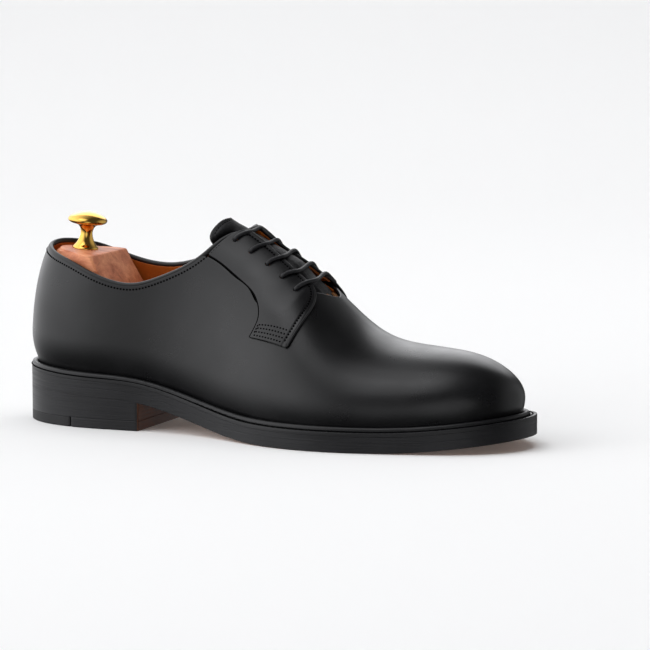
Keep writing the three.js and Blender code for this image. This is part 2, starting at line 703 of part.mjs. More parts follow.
// ---------------------------------------------------------------- linings and binding
// The lining reaches the topline, and the lacing edge under each facing.
const edgeV = spline(
  FRONT_EDGE.slice(0, 5).map(([x, z]) => [x, flankV(x, z)]).concat([[THROAT, 1]]),
);
function liningTop(x, side) {
  if (x >= THROAT) return 1;
  const binding = x < TOPLINE_END ? rimV(placeAt(x, side), BINDING_BELOW) : 1;
  return x < 125 ? binding : Math.min(binding, edgeV(x));
}

function addLinings() {
  const depth = (p) => liningDepth(p);
  const far = (p) => liningDepth(p) + LINING;
  const all = columns(FLANK_STATIONS, liningTop);
  const holes = [...eyeletHoles(-1), ...eyeletHoles(1)];
  const [outerSide, innerSide] = [placeAt(LINING_JOINT, -1), placeAt(LINING_JOINT, 1)];
  const at = (place, side) => ({ place, top: liningTop(LINING_JOINT, side), joined: false });
  const vampPart = all.filter((c) => c.place > outerSide && c.place < innerSide);
  const vamp = [at(outerSide, -1), ...vampPart, at(innerSide, 1)];
  add("vamp_lining", cut(layerOf(vamp, depth, far, false), holes), finish(0xc9b394, 0.9));
  const gapPlace = 0.7;
  const inner = all.filter((c) => c.place > innerSide).map((c) => ({ ...c, place: c.place - SAMPLES }));
  const outer = all.filter((c) => c.place < outerSide);
  const quarter = [
    at(innerSide - SAMPLES + gapPlace, 1),
    ...inner,
    ...outer,
    at(outerSide - gapPlace, -1),
  ];
  quarter.sort((a, b) => a.place - b.place);
  add("quarter_lining", cut(layerOf(quarter, depth, far, false), holes), tanLeather());
}

function addBinding() {
  const stations = [130, 124, 118, 112, 104, 96, 88, 80, 72, 64, 56, 50];
  const centre = (place, v) => skin(place, v, (LINING_PLAIN + LINING) / 2);
  const flank = (side) =>
    stations.map((x) => placeAt(x, side)).map((place) => centre(place, rimV(place, BINDING_RADIUS)));
  const back = heelFan.map((place) => centre(place, rimV(place, BINDING_RADIUS)));
  const path = [...flank(1), ...back, ...flank(-1).reverse()];
  add("topline_binding", tube(path, BINDING_RADIUS, 6, 60), blackLeather());
}

// ---------------------------------------------------------------- tongue and lace
// Half of the tongue's width, as a v on the flank.
const tongueEdge = spline([[119, 0.66], [128, 0.64], [145, 0.58], [170, 0.52], [196, 0.6]]);

// The tongue is higher in the middle and at its root under the vamp, and its free end stands up to the
// surface of the upper above the topline.
function tongueDepth(x, v, z) {
  const middle = smooth((v - 0.84) / 0.13);
  const root = smooth((x - 178) / 9);
  const free = smooth((z - toplineOuter(x) - 2) / 6) * smooth((131 - x) / 8);
  const under = TONGUE.sideDepth + (TONGUE.middleDepth - TONGUE.sideDepth) * middle;
  const open = under * (1 - free) + TONGUE.freeDepth * free;
  return open * (1 - root) + (LINING_PLAIN + LINING + 2 * GAP) * root;
}

function tongueGeometry(from, to) {
  const stations = [];
  for (let i = 0; i <= 14; i++) stations.push(TONGUE.rear + ((TONGUE.front - TONGUE.rear) * i) / 14);
  const steps = 5;
  const grid = (extra) =>
    stations.map((x) => {
      const half = (side) =>
        Array.from({ length: steps + 1 }, (_, j) => {
          const v = tongueEdge(x) + (1 - tongueEdge(x)) * (j / steps);
          const place = placeAt(x, side);
          return skin(place, v, tongueDepth(x, v, form(place, v).z) + extra);
        });
      return [...half(-1), ...half(1).reverse().slice(1)];
    });
  const [outer, inner] = [grid(from), grid(to)];
  return shell(outer, inner, stations.map(() => false), false);
}

function addTongue() {
  const near = TONGUE.thickness;
  add("tongue", tongueGeometry(0, near), blackLeather());
  const far = near + GAP + TONGUE.lining;
  add("tongue_lining", tongueGeometry(near + GAP, far), tanLeather());
}

// One lace: a bar over each pair of eyelets, a turn under the facing to the next pair, and two tucked ends.
function lacePoints() {
  const points = [];
  const at = (x, v, side, depth) => points.push(skin(placeAt(x, side), v, depth));
  const half = (row, side) => {
    const [x, z] = eyelets(side)[row];
    const v = flankV(x, z);
    const end = x + (side < 0 ? LACE_SLANT : 0);
    const edge = Math.min(edgeV(end), 0.93);
    const up = (share) => {
      const high = v + (edge - v) * share;
      const over = x + (end - x) * share;
      const level = form(placeAt(over, side), high).z;
      const rise = edgeRise(side, 0.5 + 0.5 * share, row * 0.13);
      return [over, high, -LACE_RADIUS - 4 * GAP - facingLift(over, level) - rise];
    };
    return [[x, v, LACE_UNDER], [x, v, 1.6], [x, v, -0.8 - facingLift(x, z)], up(0.4), up(0.7), up(1)];
  };
  EYELETS_OUTER.forEach((_, row) => {
    const start = row % 2 ? 1 : -1;
    half(row, start).forEach(([x, v, depth]) => at(x, v, start, depth));
    const near = points.length;
    half(row, -start).reverse().forEach(([x, v, depth]) => at(x, v, -start, depth));
    points.splice(near, 0, points[near - 1].clone().lerp(points[near], 0.5));
  });
  return points;
}

function addLace() {
  const tucked = (list, side) => list.map(([x, v]) => skin(placeAt(x, side), v, LACE_UNDER + GAP));
  const outerEnd = tucked([[154, 0.45], [146, 0.48], [138, 0.56], [133.5, 0.66]], -1);
  const innerEnd = tucked([[171, 0.62], [168, 0.52], [160, 0.44], [150, 0.46]], 1);
  const route = [...outerEnd, ...lacePoints(), ...innerEnd];
  add("shoelace", tube(route, LACE_RADIUS, LACE_SIDES, 78), finish(0x18181a, 0.5));
  const outerTip = tucked([[155.2, 0.446], [161, 0.43], [167, 0.41]], -1);
  const innerTip = tucked([[148.8, 0.465], [143, 0.49], [137, 0.53]], 1);
  add("lace_tip_lateral", tube(outerTip, LACE_RADIUS, LACE_SIDES, 4), finish(0x101011, 0.3));
  add("lace_tip_medial", tube(innerTip, LACE_RADIUS, LACE_SIDES, 4), finish(0x101011, 0.3));
}

// ---------------------------------------------------------------- shoe tree
const treePlan = plan(() => -TREE_INSET);

const underTongue = (x) => smooth((210 - x) / 24);

function treeTop(x) {
  const floor = sockTop(x) + TREE_FLOOR;
  const t = THREE.MathUtils.clamp((x - TOE_FALL + TREE_INSET) / (treePlan.front - TOE_FALL + TREE_INSET), 0, 1);
  const open = ridgeHeight(x) - TREE_DROP - UNDER_TONGUE * underTongue(x) - floor;
  return floor + open * (1 - t ** TOE_SQUARENESS) ** (1 / TOE_SQUARENESS);
}

// Half of the toe piece: sections across the shoe, flat on the split and on the floor.
function toeHalf(side) {
  const steps = 14;
  const front = treePlan.front - 2;
  const rings = Array.from({ length: steps + 1 }, (_, i) => {
    const x = TREE_REAR + (front - TREE_REAR) * Math.sin((Math.PI / 2) * (i / steps));
    const floor = sockTop(x) + TREE_FLOOR;
    const split = ridgeY(x) + side * TREE_SPLIT;
    const wall = side < 0 ? treePlan.outer(x) : treePlan.inner(x);
    const reach = side * Math.max(side * (wall - split) - UNDER_TONGUE * underTongue(x), 0.8);
    const arc = Array.from({ length: 9 }, (_, j) => {
      const turn = (Math.PI / 2) * (j / 8);
      const y = split + reach * Math.cos(turn) ** (2 / sidePower(x));
      return new THREE.Vector3(x, y, floor + (treeTop(x) - floor) * Math.sin(turn) ** (2 / topPower(x)));
    });
    const ring = [new THREE.Vector3(x, split, floor), ...arc];
    return side < 0 ? ring.reverse() : ring;
  });
  return loft(rings);
}

// A coil spring about a line from one end to the other.
function coil(from, to, radius, wire, turns) {
  const axis = to.clone().sub(from);
  const [right, up] = [new THREE.Vector3(0, 0, 1), new THREE.Vector3()];
  up.crossVectors(axis, right).normalize();
  const perTurn = 7;
  const count = turns * perTurn;
  const points = Array.from({ length: count + 1 }, (_, i) => {
    const turn = (i / perTurn) * 2 * Math.PI;
    return from.clone().addScaledVector(axis, i / count)
      .addScaledVector(right, radius * Math.cos(turn)).addScaledVector(up, radius * Math.sin(turn));
  });
  return tube(points, wire, 4, count);
}

function addToePiece() {
  const bore = rod(TUBE.outer + TUBE.inToe, 2 * (TUBE.to + 1 - TREE_REAR), 24)
    .rotateZ(Math.PI / 2).translate(TREE_REAR, 0, TUBE_HEIGHT);
  const pinHole = rod(CROSS_PIN.radius + 0.4, 2 * CROSS_PIN.halfLength + 6, 14)
    .translate(CROSS_PIN.x, 0, TUBE_HEIGHT);
  const pockets = TOE_SPRINGS.map(([x, z]) =>
    rod(TOE_SPRING.radius + TOE_SPRING.wire + 0.5, 2 * TOE_SPRING.halfLength + 5, 14)
      .translate(x, ridgeY(x), z),
  );
  const cutters = [bore, pinHole, ...pockets];
  add("tree_toe_lateral", cut(toeHalf(-1), cutters), cedar());
  add("tree_toe_medial", cut(toeHalf(1), cutters), cedar());
  TOE_SPRINGS.forEach(([x, z], i) => {
    const end = (side) => new THREE.Vector3(x, ridgeY(x) + side * TOE_SPRING.halfLength, z);
    const spring = coil(end(-1), end(1), TOE_SPRING.radius, TOE_SPRING.wire, TOE_SPRING.turns);
    add(`tree_toe_spring_${i + 1}`, spring, steel());
  });
  const pin = add("tree_cross_pin", rod(CROSS_PIN.radius, 2 * CROSS_PIN.halfLength, 14), steel());
  pin.position.set(CROSS_PIN.x, 0, TUBE_HEIGHT);
}

function addTube() {
  const profile = [
    [TUBE.inner, TUBE.from], [TUBE.outer, TUBE.from], [TUBE.outer, TUBE.to], [0, TUBE.to],
    [0, TUBE.to - TUBE.wall], [TUBE.inner, TUBE.to - TUBE.wall], [TUBE.inner, TUBE.from],
  ].map(([r, x]) => new THREE.Vector2(r, x));
  const body = new THREE.LatheGeometry(profile, 24).rotateZ(-Math.PI / 2).translate(0, 0, TUBE_HEIGHT);
  const pinHole = rod(CROSS_PIN.radius + GAP, 4 * TUBE.outer, 14).translate(CROSS_PIN.x, 0, TUBE_HEIGHT);
  add("tree_outer_tube", cut(body, [pinHole]), steel());
  const rodLength = ROD.to - ROD.from;
  const plunger = add("tree_plunger_rod", rod(ROD.radius, rodLength, 20), steel());
  plunger.rotation.z = Math.PI / 2;
  plunger.position.set(ROD.from + rodLength / 2, 0, TUBE_HEIGHT);
  const end = (x) => new THREE.Vector3(x, 0, TUBE_HEIGHT);
  const { from, to, radius, wire, turns } = MAIN_SPRING;
  add("tree_main_spring", coil(end(from), end(to), radius, wire, turns), steel());
}

const blockTop = (x) => BLOCK_TOP[1] - BLOCK_LEAN * (x - BLOCK_TOP[0]);

// The heel block fills the heel with some clearance, is cut straight across in front, and narrows to its
// flat top. Each level is [height, clearance below the surface of the upper at the rear, the same at the
// front, x of the front face].
const BLOCK_LEVELS = [
  [0, 7, 7, 57], [46, 5.6, 5.6, 62], [62, 5.6, 5.6, 62.5], [76, 5.6, 5.6, 58], [89, 4.2, 4.2, 49.8],
  [200, 6.6, 2.4, 45.8],
];

function heelBlock() {
  const rings = BLOCK_LEVELS.map(([z, rearGap, frontGap, front]) => {
    const inside = (place) => {
      const x = outlineAt(place).x;
      const clearance = rearGap + (frontGap - rearGap) * smooth((x - 20) / 22);
      const level = THREE.MathUtils.clamp(z, featherHeight(x) + 8, blockTop(x));
      const p = skin(place, heightV(place, () => level), clearance);
      p.x = Math.min(p.x, front);
      p.z = THREE.MathUtils.clamp(z, sockTop(p.x) + TREE_FLOOR, blockTop(p.x));
      return p;
    };
    const start = Math.max(front, HEEL_CENTRE + 4);
    const flank = (side) => [placeAt(start, side), placeAt(HEEL_CENTRE, side)].map(inside);
    return [...flank(1), ...heelFan.map(inside), ...flank(-1).reverse()];
  });
  return loft(rings);
}

function addHeelBlock() {
  const top = blockTop(KNOB.x);
  const lean = Math.atan(BLOCK_LEAN);
  const fitting = new THREE.Group();
  fitting.position.set(KNOB.x, KNOB.y, top);
  fitting.rotation.y = lean;
  shoe.add(fitting);
  const studHole = rod(KNOB.hole, 2 * (KNOB.studDepth + 1), 14).rotateX(Math.PI / 2)
    .rotateY(lean).translate(KNOB.x, KNOB.y, top);
  const rodHole = rod(ROD.radius + GAP, 2 * (80 - ROD.from) + 2 * GAP, 20)
    .rotateZ(Math.PI / 2).translate(80, 0, TUBE_HEIGHT);
  add("tree_heel_block", cut(heelBlock(), [studHole, rodHole]), cedar());
  const profile = [
    [0, KNOB.holeDepth], [KNOB.hole, KNOB.holeDepth], [KNOB.hole, 0], [7.35, 0], [7.2, 0.8], [5.2, 2.7],
    [3.9, 5.3], [3.35, 8.4], [3.6, 11], [4.9, 13.1], [8.5, 14.1], [10.8, 15], [11.1, 16],
    [10.7, 17], [8, 18.9], [4.5, 20.2], [0, 20.8],
  ].map(([r, h]) => new THREE.Vector2(r, h));
  const knob = add("tree_knob", new THREE.LatheGeometry(profile, 20), brass(), fitting);
  knob.rotation.x = Math.PI / 2;
  knob.position.z = GAP;
  const above = KNOB.holeDepth - GAP;
  const length = above + KNOB.studDepth;
  const stud = add("tree_knob_stud", rod(KNOB.stud, length, 10), steel(), fitting);
  stud.rotation.x = Math.PI / 2;
  stud.position.z = above - length / 2;
}

addHeel();
addSole();
addUpper();
addFacings();
addLinings();
addBinding();
addTongue();
addLace();
addToePiece();
addTube();
addHeelBlock();

// The origin is under the middle of the whole shoe, on the ground.
const box = new THREE.Box3().setFromObject(shoe);
const part = new THREE.Group();
shoe.position.set(-(box.min.x + box.max.x) / 2, -(box.min.y + box.max.y) / 2, -box.min.z);
part.add(shoe);

export default part;
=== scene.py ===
"""A black plain-toe derby for the right foot with a cedar shoe tree in it, detailed round the CAD part.

Shapes are worked out in the shoe's own millimetres: x from the back of the heel to the toe, the outer side of
the foot at -y, z up from the ground. Every mesh is moved to the row frame, in metres, when it is made.
"""

import bmesh
import bpy
import numpy as np
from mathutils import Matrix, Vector


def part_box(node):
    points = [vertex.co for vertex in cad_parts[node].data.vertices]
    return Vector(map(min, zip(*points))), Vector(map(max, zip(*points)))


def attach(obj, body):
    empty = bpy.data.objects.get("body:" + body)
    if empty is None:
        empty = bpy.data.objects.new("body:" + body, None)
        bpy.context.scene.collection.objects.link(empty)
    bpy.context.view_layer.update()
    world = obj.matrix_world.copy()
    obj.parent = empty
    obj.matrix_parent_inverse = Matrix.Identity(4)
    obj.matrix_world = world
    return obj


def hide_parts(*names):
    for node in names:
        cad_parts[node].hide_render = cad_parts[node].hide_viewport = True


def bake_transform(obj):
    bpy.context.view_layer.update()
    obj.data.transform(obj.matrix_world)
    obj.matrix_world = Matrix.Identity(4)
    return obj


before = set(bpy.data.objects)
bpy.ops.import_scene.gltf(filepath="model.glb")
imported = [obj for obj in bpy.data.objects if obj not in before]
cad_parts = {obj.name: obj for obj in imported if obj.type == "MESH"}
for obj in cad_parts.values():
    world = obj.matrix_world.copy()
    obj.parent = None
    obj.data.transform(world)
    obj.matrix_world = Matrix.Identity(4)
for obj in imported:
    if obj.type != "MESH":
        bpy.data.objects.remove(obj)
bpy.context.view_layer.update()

# ------------------------------------------------------------------ dimensions, in millimetres
OUTLINE = [
    (0, 0), (13.5, -22.5), (46, -32.5), (84, -31), (122, -34.5), (162, -48), (200, -52), (236, -45),
    (266, -36), (288, -21), (296, -2), (290, 15), (270, 31), (240, 42), (204, 46), (166, 41), (126, 32),
    (86, 29), (46, 32), (13.5, 22.5),
]
TURN = 600  # places round the outline, counted from the heel by the outer side
HEEL_CENTRE, TOE_CENTRE, TOE_FALL, TOE_SQUARENESS = 49, 242, 254, 2.9
RIDGE = [
    (-5, 124), (50, 124), (85, 119), (117, 118), (145, 106), (175, 87.6), (205, 61), (235, 52.2),
    (260, 49.9), (280, 46.2), (293, 43),
]
RIDGE_ACROSS = [(0, .5), (64, .5), (114, .53), (164, .55), (224, .53), (296, .5)]
SIDE_POWER = [(0, 2.4), (64, 2.3), (114, 1.8), (154, 1.8), (204, 2), (254, 2.3), (296, 2.4)]
TOP_POWER = [(0, 2.4), (64, 2.4), (114, 2), (154, 2), (204, 2.1), (254, 2.3), (296, 2.4)]
FEATHER_INSET = [(0, 4), (60, 3.2), (150, 2.6), (296, 2.5)]
TUCK_HEIGHT = 18
SOLE_LINE = [
    (0, 20.6), (44, 18.1), (80, 15.6), (114, 7.5), (144, 1.6), (174, .2), (204, .1), (239, .6), (274, 3.8),
    (304, 7.5),
]
SOLE_MARGIN = [(0, 0), (34, 1), (114, 2.5), (164, 4.5), (204, 5.2), (254, 5), (304, 5.1)]
OUTSOLE, MIDSOLE_TOP, SOLE_TOP, BEAD = 5, 8.6, 10.9, 2
INSOLE, SOCK = 3, 1
HEEL_LENGTH, TOP_PIECE, LIFTS, RUBBER_LENGTH = 80, 5.7, 3, 38
LEATHER = 1.4
LINING_FROM, LINING_OVER_STIFFENER, LINING = 2.0, 3.2, 1.0
TOPLINE_OUTER = [
    (8, 102), (21, 97), (36, 92.5), (52, 86.3), (64, 82.8), (75, 82.1), (89, 86.2), (103, 92.7),
    (113.4, 100.2), (122.5, 108.8), (131, 111.9),
]
TOPLINE_INNER = [
    (8, 102.6), (21, 100.6), (33, 97.2), (45, 92.8), (56, 89.8), (69, 88.4), (77, 88.7), (89, 91.2),
    (103, 96), (113.4, 101.4), (122.5, 108.8), (131, 111.9),
]
TOPLINE_END = 131
SEAM = [
    (116.5, 98.4), (121, 96.6), (128, 92.9), (137.2, 87.3), (147, 81), (151.8, 75.9), (154.2, 71.4),
    (154.9, 67), (153.8, 62.5), (151, 56.5),
]
FRONT_EDGE = [
    (132.5, 110.4), (139, 107.4), (149, 102.1), (161, 94.7), (170.5, 87.9), (177.8, 81.4), (181, 75),
    (179.6, 66.6), (174.3, 52.6),
]
FACING_LENGTH = 66.0  # from the top corner of a facing to the foot of its tab
FACING_STITCH = 2.5  # from the lacing edge to its row of stitches
SEAM_GAP, SEAM_SHADE_CORD = 0.45, 0.5  # the rear seam of a facing: the groove, and the radius of the near-black cord laid in it as a painted shadow line
TAB_ROWS = (2.0, 4.1, 6.2, 8.3)  # the rows of stitches across the tab, above its foot
STITCH_PITCH, STITCH_SINK = 1.85, 0.34
WELT_PITCH, WELT_STITCH = 3.4, 2.7
EYELET_RADIUS = 1.5
NOTCH, THROAT = 154.6, 187
THROAT_EDGE = [(154.6, 66.7), (163, 65.5), (170, 69), (174.5, 75), (178.4, 80.8)]
EYELETS_OUTER = [(130, 106.3), (140.5, 100.6), (151.5, 94.6), (161.5, 88.3), (170.5, 81.7)]
EYELETS_INNER = [(137.5, 102), (147.8, 96.6), (157.6, 90.8), (167, 84.8), (175, 79.4)]
LACE_SLANT = 5.5  # how far each bar moves towards the toe over the outer facing
LACE_RADIUS = 1.2
TONGUE_ROOT = 196
LINING_END = 180
KNOB_AT = (30.3, 3)
KNOB_HEIGHT = 20.8
KNOB = [
    (7.4, 0), (7.35, 0.5), (6.4, 1.6), (5.1, 3.2), (4.1, 5.3), (3.4, 8.1), (3.5, 10.2), (4.3, 12.1),
    (6.2, 13.5), (8.8, 14.2), (10.6, 15), (11.1, 16), (10.8, 17), (9.3, 18.3), (6.5, 19.6), (3.2, 20.5),
    (0.4, KNOB_HEIGHT),
]
BLOCK_LEAN = 0.1
BLOCK_TOP = (13, 98.2)
# Levels of the heel block: height, clearance at the rear and in front, and the x of the flat front.
BLOCK_LEVELS = [
    (0, 7, 7, 57), (46, 5.6, 5.6, 62), (62, 5.6, 5.6, 62.5), (76, 5.6, 5.6, 58), (89, 4.2, 4.2, 49.8),
    (96.5, 6.6, 2.6, 45.8),
]
TUBE_HEIGHT = 46
TUBE = [
    (0, 182.8), (5.4, 182.8), (5.6, 182.5), (5.6, 84.4), (5.9, 84.1), (6.8, 84), (7, 84.3), (7, 88),
    (6.85, 88.4), (6.85, 89.2), (7, 89.6), (7, 185.6), (6.7, 186), (0, 186),
]
ROD = [(0, 46), (4.3, 46), (4.6, 46.3), (4.6, 139.6), (4.2, 140), (0, 140)]
SPRING_FROM, SPRING_TO, SPRING_RADIUS, SPRING_WIRE, SPRING_TURNS = 141.2, 176.8, 4.4, 0.55, 8
NAILS = [(14, 0), (25, -19), (25, 19), (62, -18), (62, 18)]

# ------------------------------------------------------------------ camera and studio
VIEW_AZIMUTH, VIEW_ELEVATION, DISTANCE, LENS = 23.0, 7.5, 1.9, 191.7
CAMERA_AIM = [178.6, 0, 60.5]  # in the shoe's millimetres
FLOOR_GLOW = (0.05, 0.17)  # near the shoe, and on the backdrop
# Soft boxes of the studio: (bearing from the camera's side towards the toe, elevation, radiance, and the
# cosines of the angles where each one ends and where it is full).
SOFT_BOXES = [
    (-84, 5, 1.5, -0.1, 0.85), (-160, 29, 1.5, 0.9, 0.955), (128, 2, 0.4, 0.6, 0.97),
    (-8, 57, 0.9, 0.94, 0.985), (24, -1, 0.75, 0.9, 0.99), (-30, 74, 0.8, 0.93, 0.98),
]
STUDIO_FILL, STUDIO_TINT = 0.06, (0.975, 0.98, 1, 1)


# ------------------------------------------------------------------ curves
class Spline:
    """A natural cubic spline through (t, value) knots, held constant beyond its ends."""

    def __init__(self, knots):
        self.t, self.y = np.array(knots, float).T
        self.h = np.diff(self.t)
        count = len(self.t)
        matrix, right = np.eye(count), np.zeros(count)
        slope = np.diff(self.y) / self.h
        for i in range(1, count - 1):
            matrix[i, i - 1:i + 2] = self.h[i - 1], 2 * (self.h[i - 1] + self.h[i]), self.h[i]
            right[i] = 6 * (slope[i] - slope[i - 1])
        self.bend = np.linalg.solve(matrix, right)

    def __call__(self, at):
        at = np.clip(at, self.t[0], self.t[-1])
        i = np.clip(np.searchsorted(self.t, at, side="right") - 1, 0, len(self.h) - 1)
        a, b, h = self.t[i + 1] - at, at - self.t[i], self.h[i]
        low, high = self.bend[i], self.bend[i + 1]
        cubic = (low * a**3 + high * b**3) / (6 * h)
        return cubic + (self.y[i] / h - low * h / 6) * a + (self.y[i + 1] / h - high * h / 6) * b


def run_along(path, power=1.0):
    """How far each point is along a path, as a sum of chords raised to a power."""
    return np.concatenate([[0], np.cumsum(np.linalg.norm(np.diff(path, axis=0), axis=1) ** power)])


def curve_through(points):
    """The same spline through points, run by the square root of the chord, as a function of 0 to 1."""
    points = np.array(points, float)
    places = run_along(points, 0.5)
    parts = [Spline(list(zip(places, column))) for column in points.T]
    return lambda t: np.stack([part(np.asarray(t) * places[-1]) for part in parts], -1)


def closed_outline():
    """The middle one of three turns round the outline, as a function of the place."""
    turns = OUTLINE * 3 + OUTLINE[:1]
    loop, places = curve_through(turns), run_along(np.array(turns, float), 0.5)
    start, stop = places[len(OUTLINE)] / places[-1], places[2 * len(OUTLINE)] / places[-1]
    return lambda place: loop(start + (stop - start) * np.mod(place, TURN) / TURN)


ridge_height, ridge_across = Spline(RIDGE), Spline(RIDGE_ACROSS)
side_power, top_power = Spline(SIDE_POWER), Spline(TOP_POWER)
feather_inset, sole_line, sole_margin = Spline(FEATHER_INSET), Spline(SOLE_LINE), Spline(SOLE_MARGIN)
topline_outer, topline_inner = Spline(TOPLINE_OUTER), Spline(TOPLINE_INNER)
outline = closed_outline()


def smooth(t):
    t = np.clip(t, 0, 1)
    return t * t * (3 - 2 * t)


def feather_height(x):
    return sole_line(x) + SOLE_TOP + BEAD


def sock_top(x):
    return sole_line(x) + SOLE_TOP + INSOLE + SOCK + 0.6


def outline_at(place):
    """Points of the outline and its outward normals."""
    ahead = outline(np.asarray(place) + 0.4) - outline(np.asarray(place) - 0.4)
    ahead /= np.linalg.norm(ahead, axis=-1, keepdims=True)
    return outline(place), np.stack([ahead[..., 1], -ahead[..., 0]], -1)


TABLE = np.linspace(0, TURN, 12001)
TABLE_X = outline(TABLE)[:, 0]
TIP = TABLE[TABLE_X.argmax()]
TIP_X = TABLE_X.max()


def place_at(x, side):
    """The place on one side of the outline that has this x; side is -1 for outer and 1 for inner."""
    part = TABLE <= TIP if side < 0 else TABLE >= TIP
    xs, places = TABLE_X[part], TABLE[part]
    order = np.argsort(xs)
    return np.interp(x, xs[order], places[order])


def plan(margin):
    """The outline moved outwards by margin(x): its rear, its front, and its two sides as functions of x."""
    places = np.linspace(0, TURN, 2401)
    points, normals = outline_at(places)
    moved = points + normals * np.broadcast_to(margin(points[:, 0]), len(places))[:, None]
    sides = []
    for part in (places <= TIP, places >= TIP):
        order = np.argsort(moved[part, 0])
        sides.append((moved[part, 0][order], moved[part, 1][order]))
    (ox, oy), (ix, iy) = sides
    return {
        "rear": moved[:, 0].min(), "front": moved[:, 0].max(), "low": moved[:, 1].min(),
        "outer": lambda x: np.interp(x, ox, oy), "inner": lambda x: np.interp(x, ix, iy),
    }


foot_plan, sole_plan = plan(lambda x: 0 * x), plan(sole_margin)


def ridge_y(x):
    outer, inner = foot_plan["outer"](x), foot_plan["inner"](x)
    return outer + ridge_across(x) * (inner - outer)


# ------------------------------------------------------------------ the outer surface of the upper
def ridge_z(x):
    t = np.clip((x - TOE_FALL) / (TIP_X - TOE_FALL), 0, 1)
    rise = ridge_height(np.maximum(x, HEEL_CENTRE)) - feather_height(x)
    return feather_height(x) + rise * (1 - t**TOE_SQUARENESS) ** (1 / TOE_SQUARENESS)


def form(place, v):
    """The surface: v runs from 0 at the welt to 1 at the ridge."""
    place, v = np.broadcast_arrays(np.asarray(place, float), np.asarray(v, float))
    foot, normal = outline_at(place)
    foot_x = foot[..., 0]
    spine_x = np.clip(foot_x, HEEL_CENTRE, TOE_CENTRE)
    spine_y = ridge_y(spine_x)
    reach = np.sin(np.clip(1 - v, 0, 1) * np.pi / 2) ** (2 / side_power(foot_x))
    x = spine_x + reach * (foot_x - spine_x)
    y = spine_y + reach * (foot[..., 1] - spine_y)
    middle = ridge_y(x)
    edge = np.where(y < middle, foot_plan["outer"](x), foot_plan["inner"](x))
    across = np.clip(np.abs(y - middle) / np.maximum(np.abs(edge - middle), 1e-6), 0, 1)
    in_heel = foot_x < HEEL_CENTRE
    across = np.where(in_heel, reach, across)
    at = np.where(in_heel, HEEL_CENTRE, x)
    rise = np.maximum(1 - across ** side_power(at), 0) ** (1 / top_power(at))
    z = feather_height(x) + (ridge_z(x) - feather_height(x)) * rise
    above = z - feather_height(foot_x)
    tuck = feather_inset(foot_x) * np.clip(1 - above / TUCK_HEIGHT, 0, 1) ** 2
    return np.stack([x - tuck * normal[..., 0], y - tuck * normal[..., 1], z], -1)


def unit(vectors):
    return vectors / np.maximum(np.linalg.norm(vectors, axis=-1, keepdims=True), 1e-12)


def outward(place, v):
    place, v = np.broadcast_arrays(np.asarray(place, float), np.asarray(v, float))
    low = np.minimum(v, 0.985)
    along = form(place + 0.5, low) - form(place - 0.5, low)
    up = form(place, low + 0.008) - form(place, np.maximum(low - 0.008, 0))
    side = unit(np.cross(along, up))
    x = form(place, v)[..., 0]
    ridge = unit(np.stack([ridge_z(x - 0.5) - ridge_z(x + 0.5), 0 * x, 1 + 0 * x], -1))
    blend = smooth((v - 0.93) / 0.07)[..., None]
    return unit(side * (1 - blend) + ridge * blend)


def skin(place, v, depth):
    return form(place, v) - outward(place, v) * np.asarray(depth)[..., None]


def flank_v(x, z):
    """The v of a height on the flank at x, between the two fans."""
    rise = np.clip((z - feather_height(x)) / (ridge_z(x) - feather_height(x)), 0, 1)
    return 1 - (2 / np.pi) * np.arccos(rise ** (top_power(x) / 2))


def topline(p):
    inner = smooth((p[..., 1] + 8) / 16)
    return topline_outer(p[..., 0]) * (1 - inner) + topline_inner(p[..., 0]) * inner


def halved(place, low, high, count, is_under):
    """The v at which the columns' points stop being under something, between two values of v."""
    for _ in range(count):
        v = (low + high) / 2
        under = is_under(form(place, v))
        low, high = np.where(under, v, low), np.where(under, high, v)
    return low


def height_v(place, height):
    """The v at which columns reach a height that is a function of their points."""
    low, high = np.zeros(np.shape(place)), np.ones(np.shape(place))
    return halved(place, low, high, 40, lambda p: p[..., 2] < height(p))


RIM_FROM, RIM_TO = place_at(TOPLINE_END, 1) - TURN, place_at(TOPLINE_END, -1)
RIM_PLACES = np.arange(RIM_FROM, RIM_TO, 0.5)
RIM_POINTS = form(RIM_PLACES, height_v(RIM_PLACES, topline))


def rim_v(place, below):
    """The v at which columns are this far below the topline, measured over the surface."""
    top = height_v(place, topline)
    gaps = lambda p: np.linalg.norm(p[..., None, :] - RIM_POINTS, axis=-1).min(-1)
    return halved(place, top - 0.3, top, 18, lambda p: gaps(p) > below)


# ------------------------------------------------------------------ meshes
box_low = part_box("outsole")[0]
SHIFT = np.array([
    box_low.x * 1000 - sole_plan["rear"],
    box_low.y * 1000 - sole_plan["low"],
    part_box("top_piece_leather")[0].z * 1000,
])


def to_frame(points):
    return (np.asarray(points, float) + SHIFT) / 1000


def placed(name, data):
    """A new object in the scene that shows this data."""
    made = bpy.data.objects.new(name, data)
    bpy.context.scene.collection.objects.link(made)
    return made


def mesh_of(name, points, faces):
    mesh = bpy.data.meshes.new(name)
    mesh.from_pydata(to_frame(points).tolist(), [], [list(map(int, f)) for f in faces])
    return mesh


def piece(name, shape, material, slot=None, body="shoe", replaced=None, sharp=None, other=None, which=None):
    """A mesh of (points, faces) that rides on a body. The slot argument is not used.

    It stands in for the CAD node of the same name, or for replaced. Faces that are true in which get the
    other material."""
    mesh = mesh_of(name, *shape)
    mesh.materials.append(material)
    if other:
        mesh.materials.append(other)
        mesh.polygons.foreach_set("material_index", np.asarray(which, np.int32))
    mesh.polygons.foreach_set("use_smooth", np.ones(len(mesh.polygons), bool))
    weld(mesh)
    if sharp:
        mesh.set_sharp_from_angle(angle=np.radians(sharp))
    made = placed(name, mesh)
    if body:
        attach(made, body)
    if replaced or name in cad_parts:
        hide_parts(replaced or name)
    return made


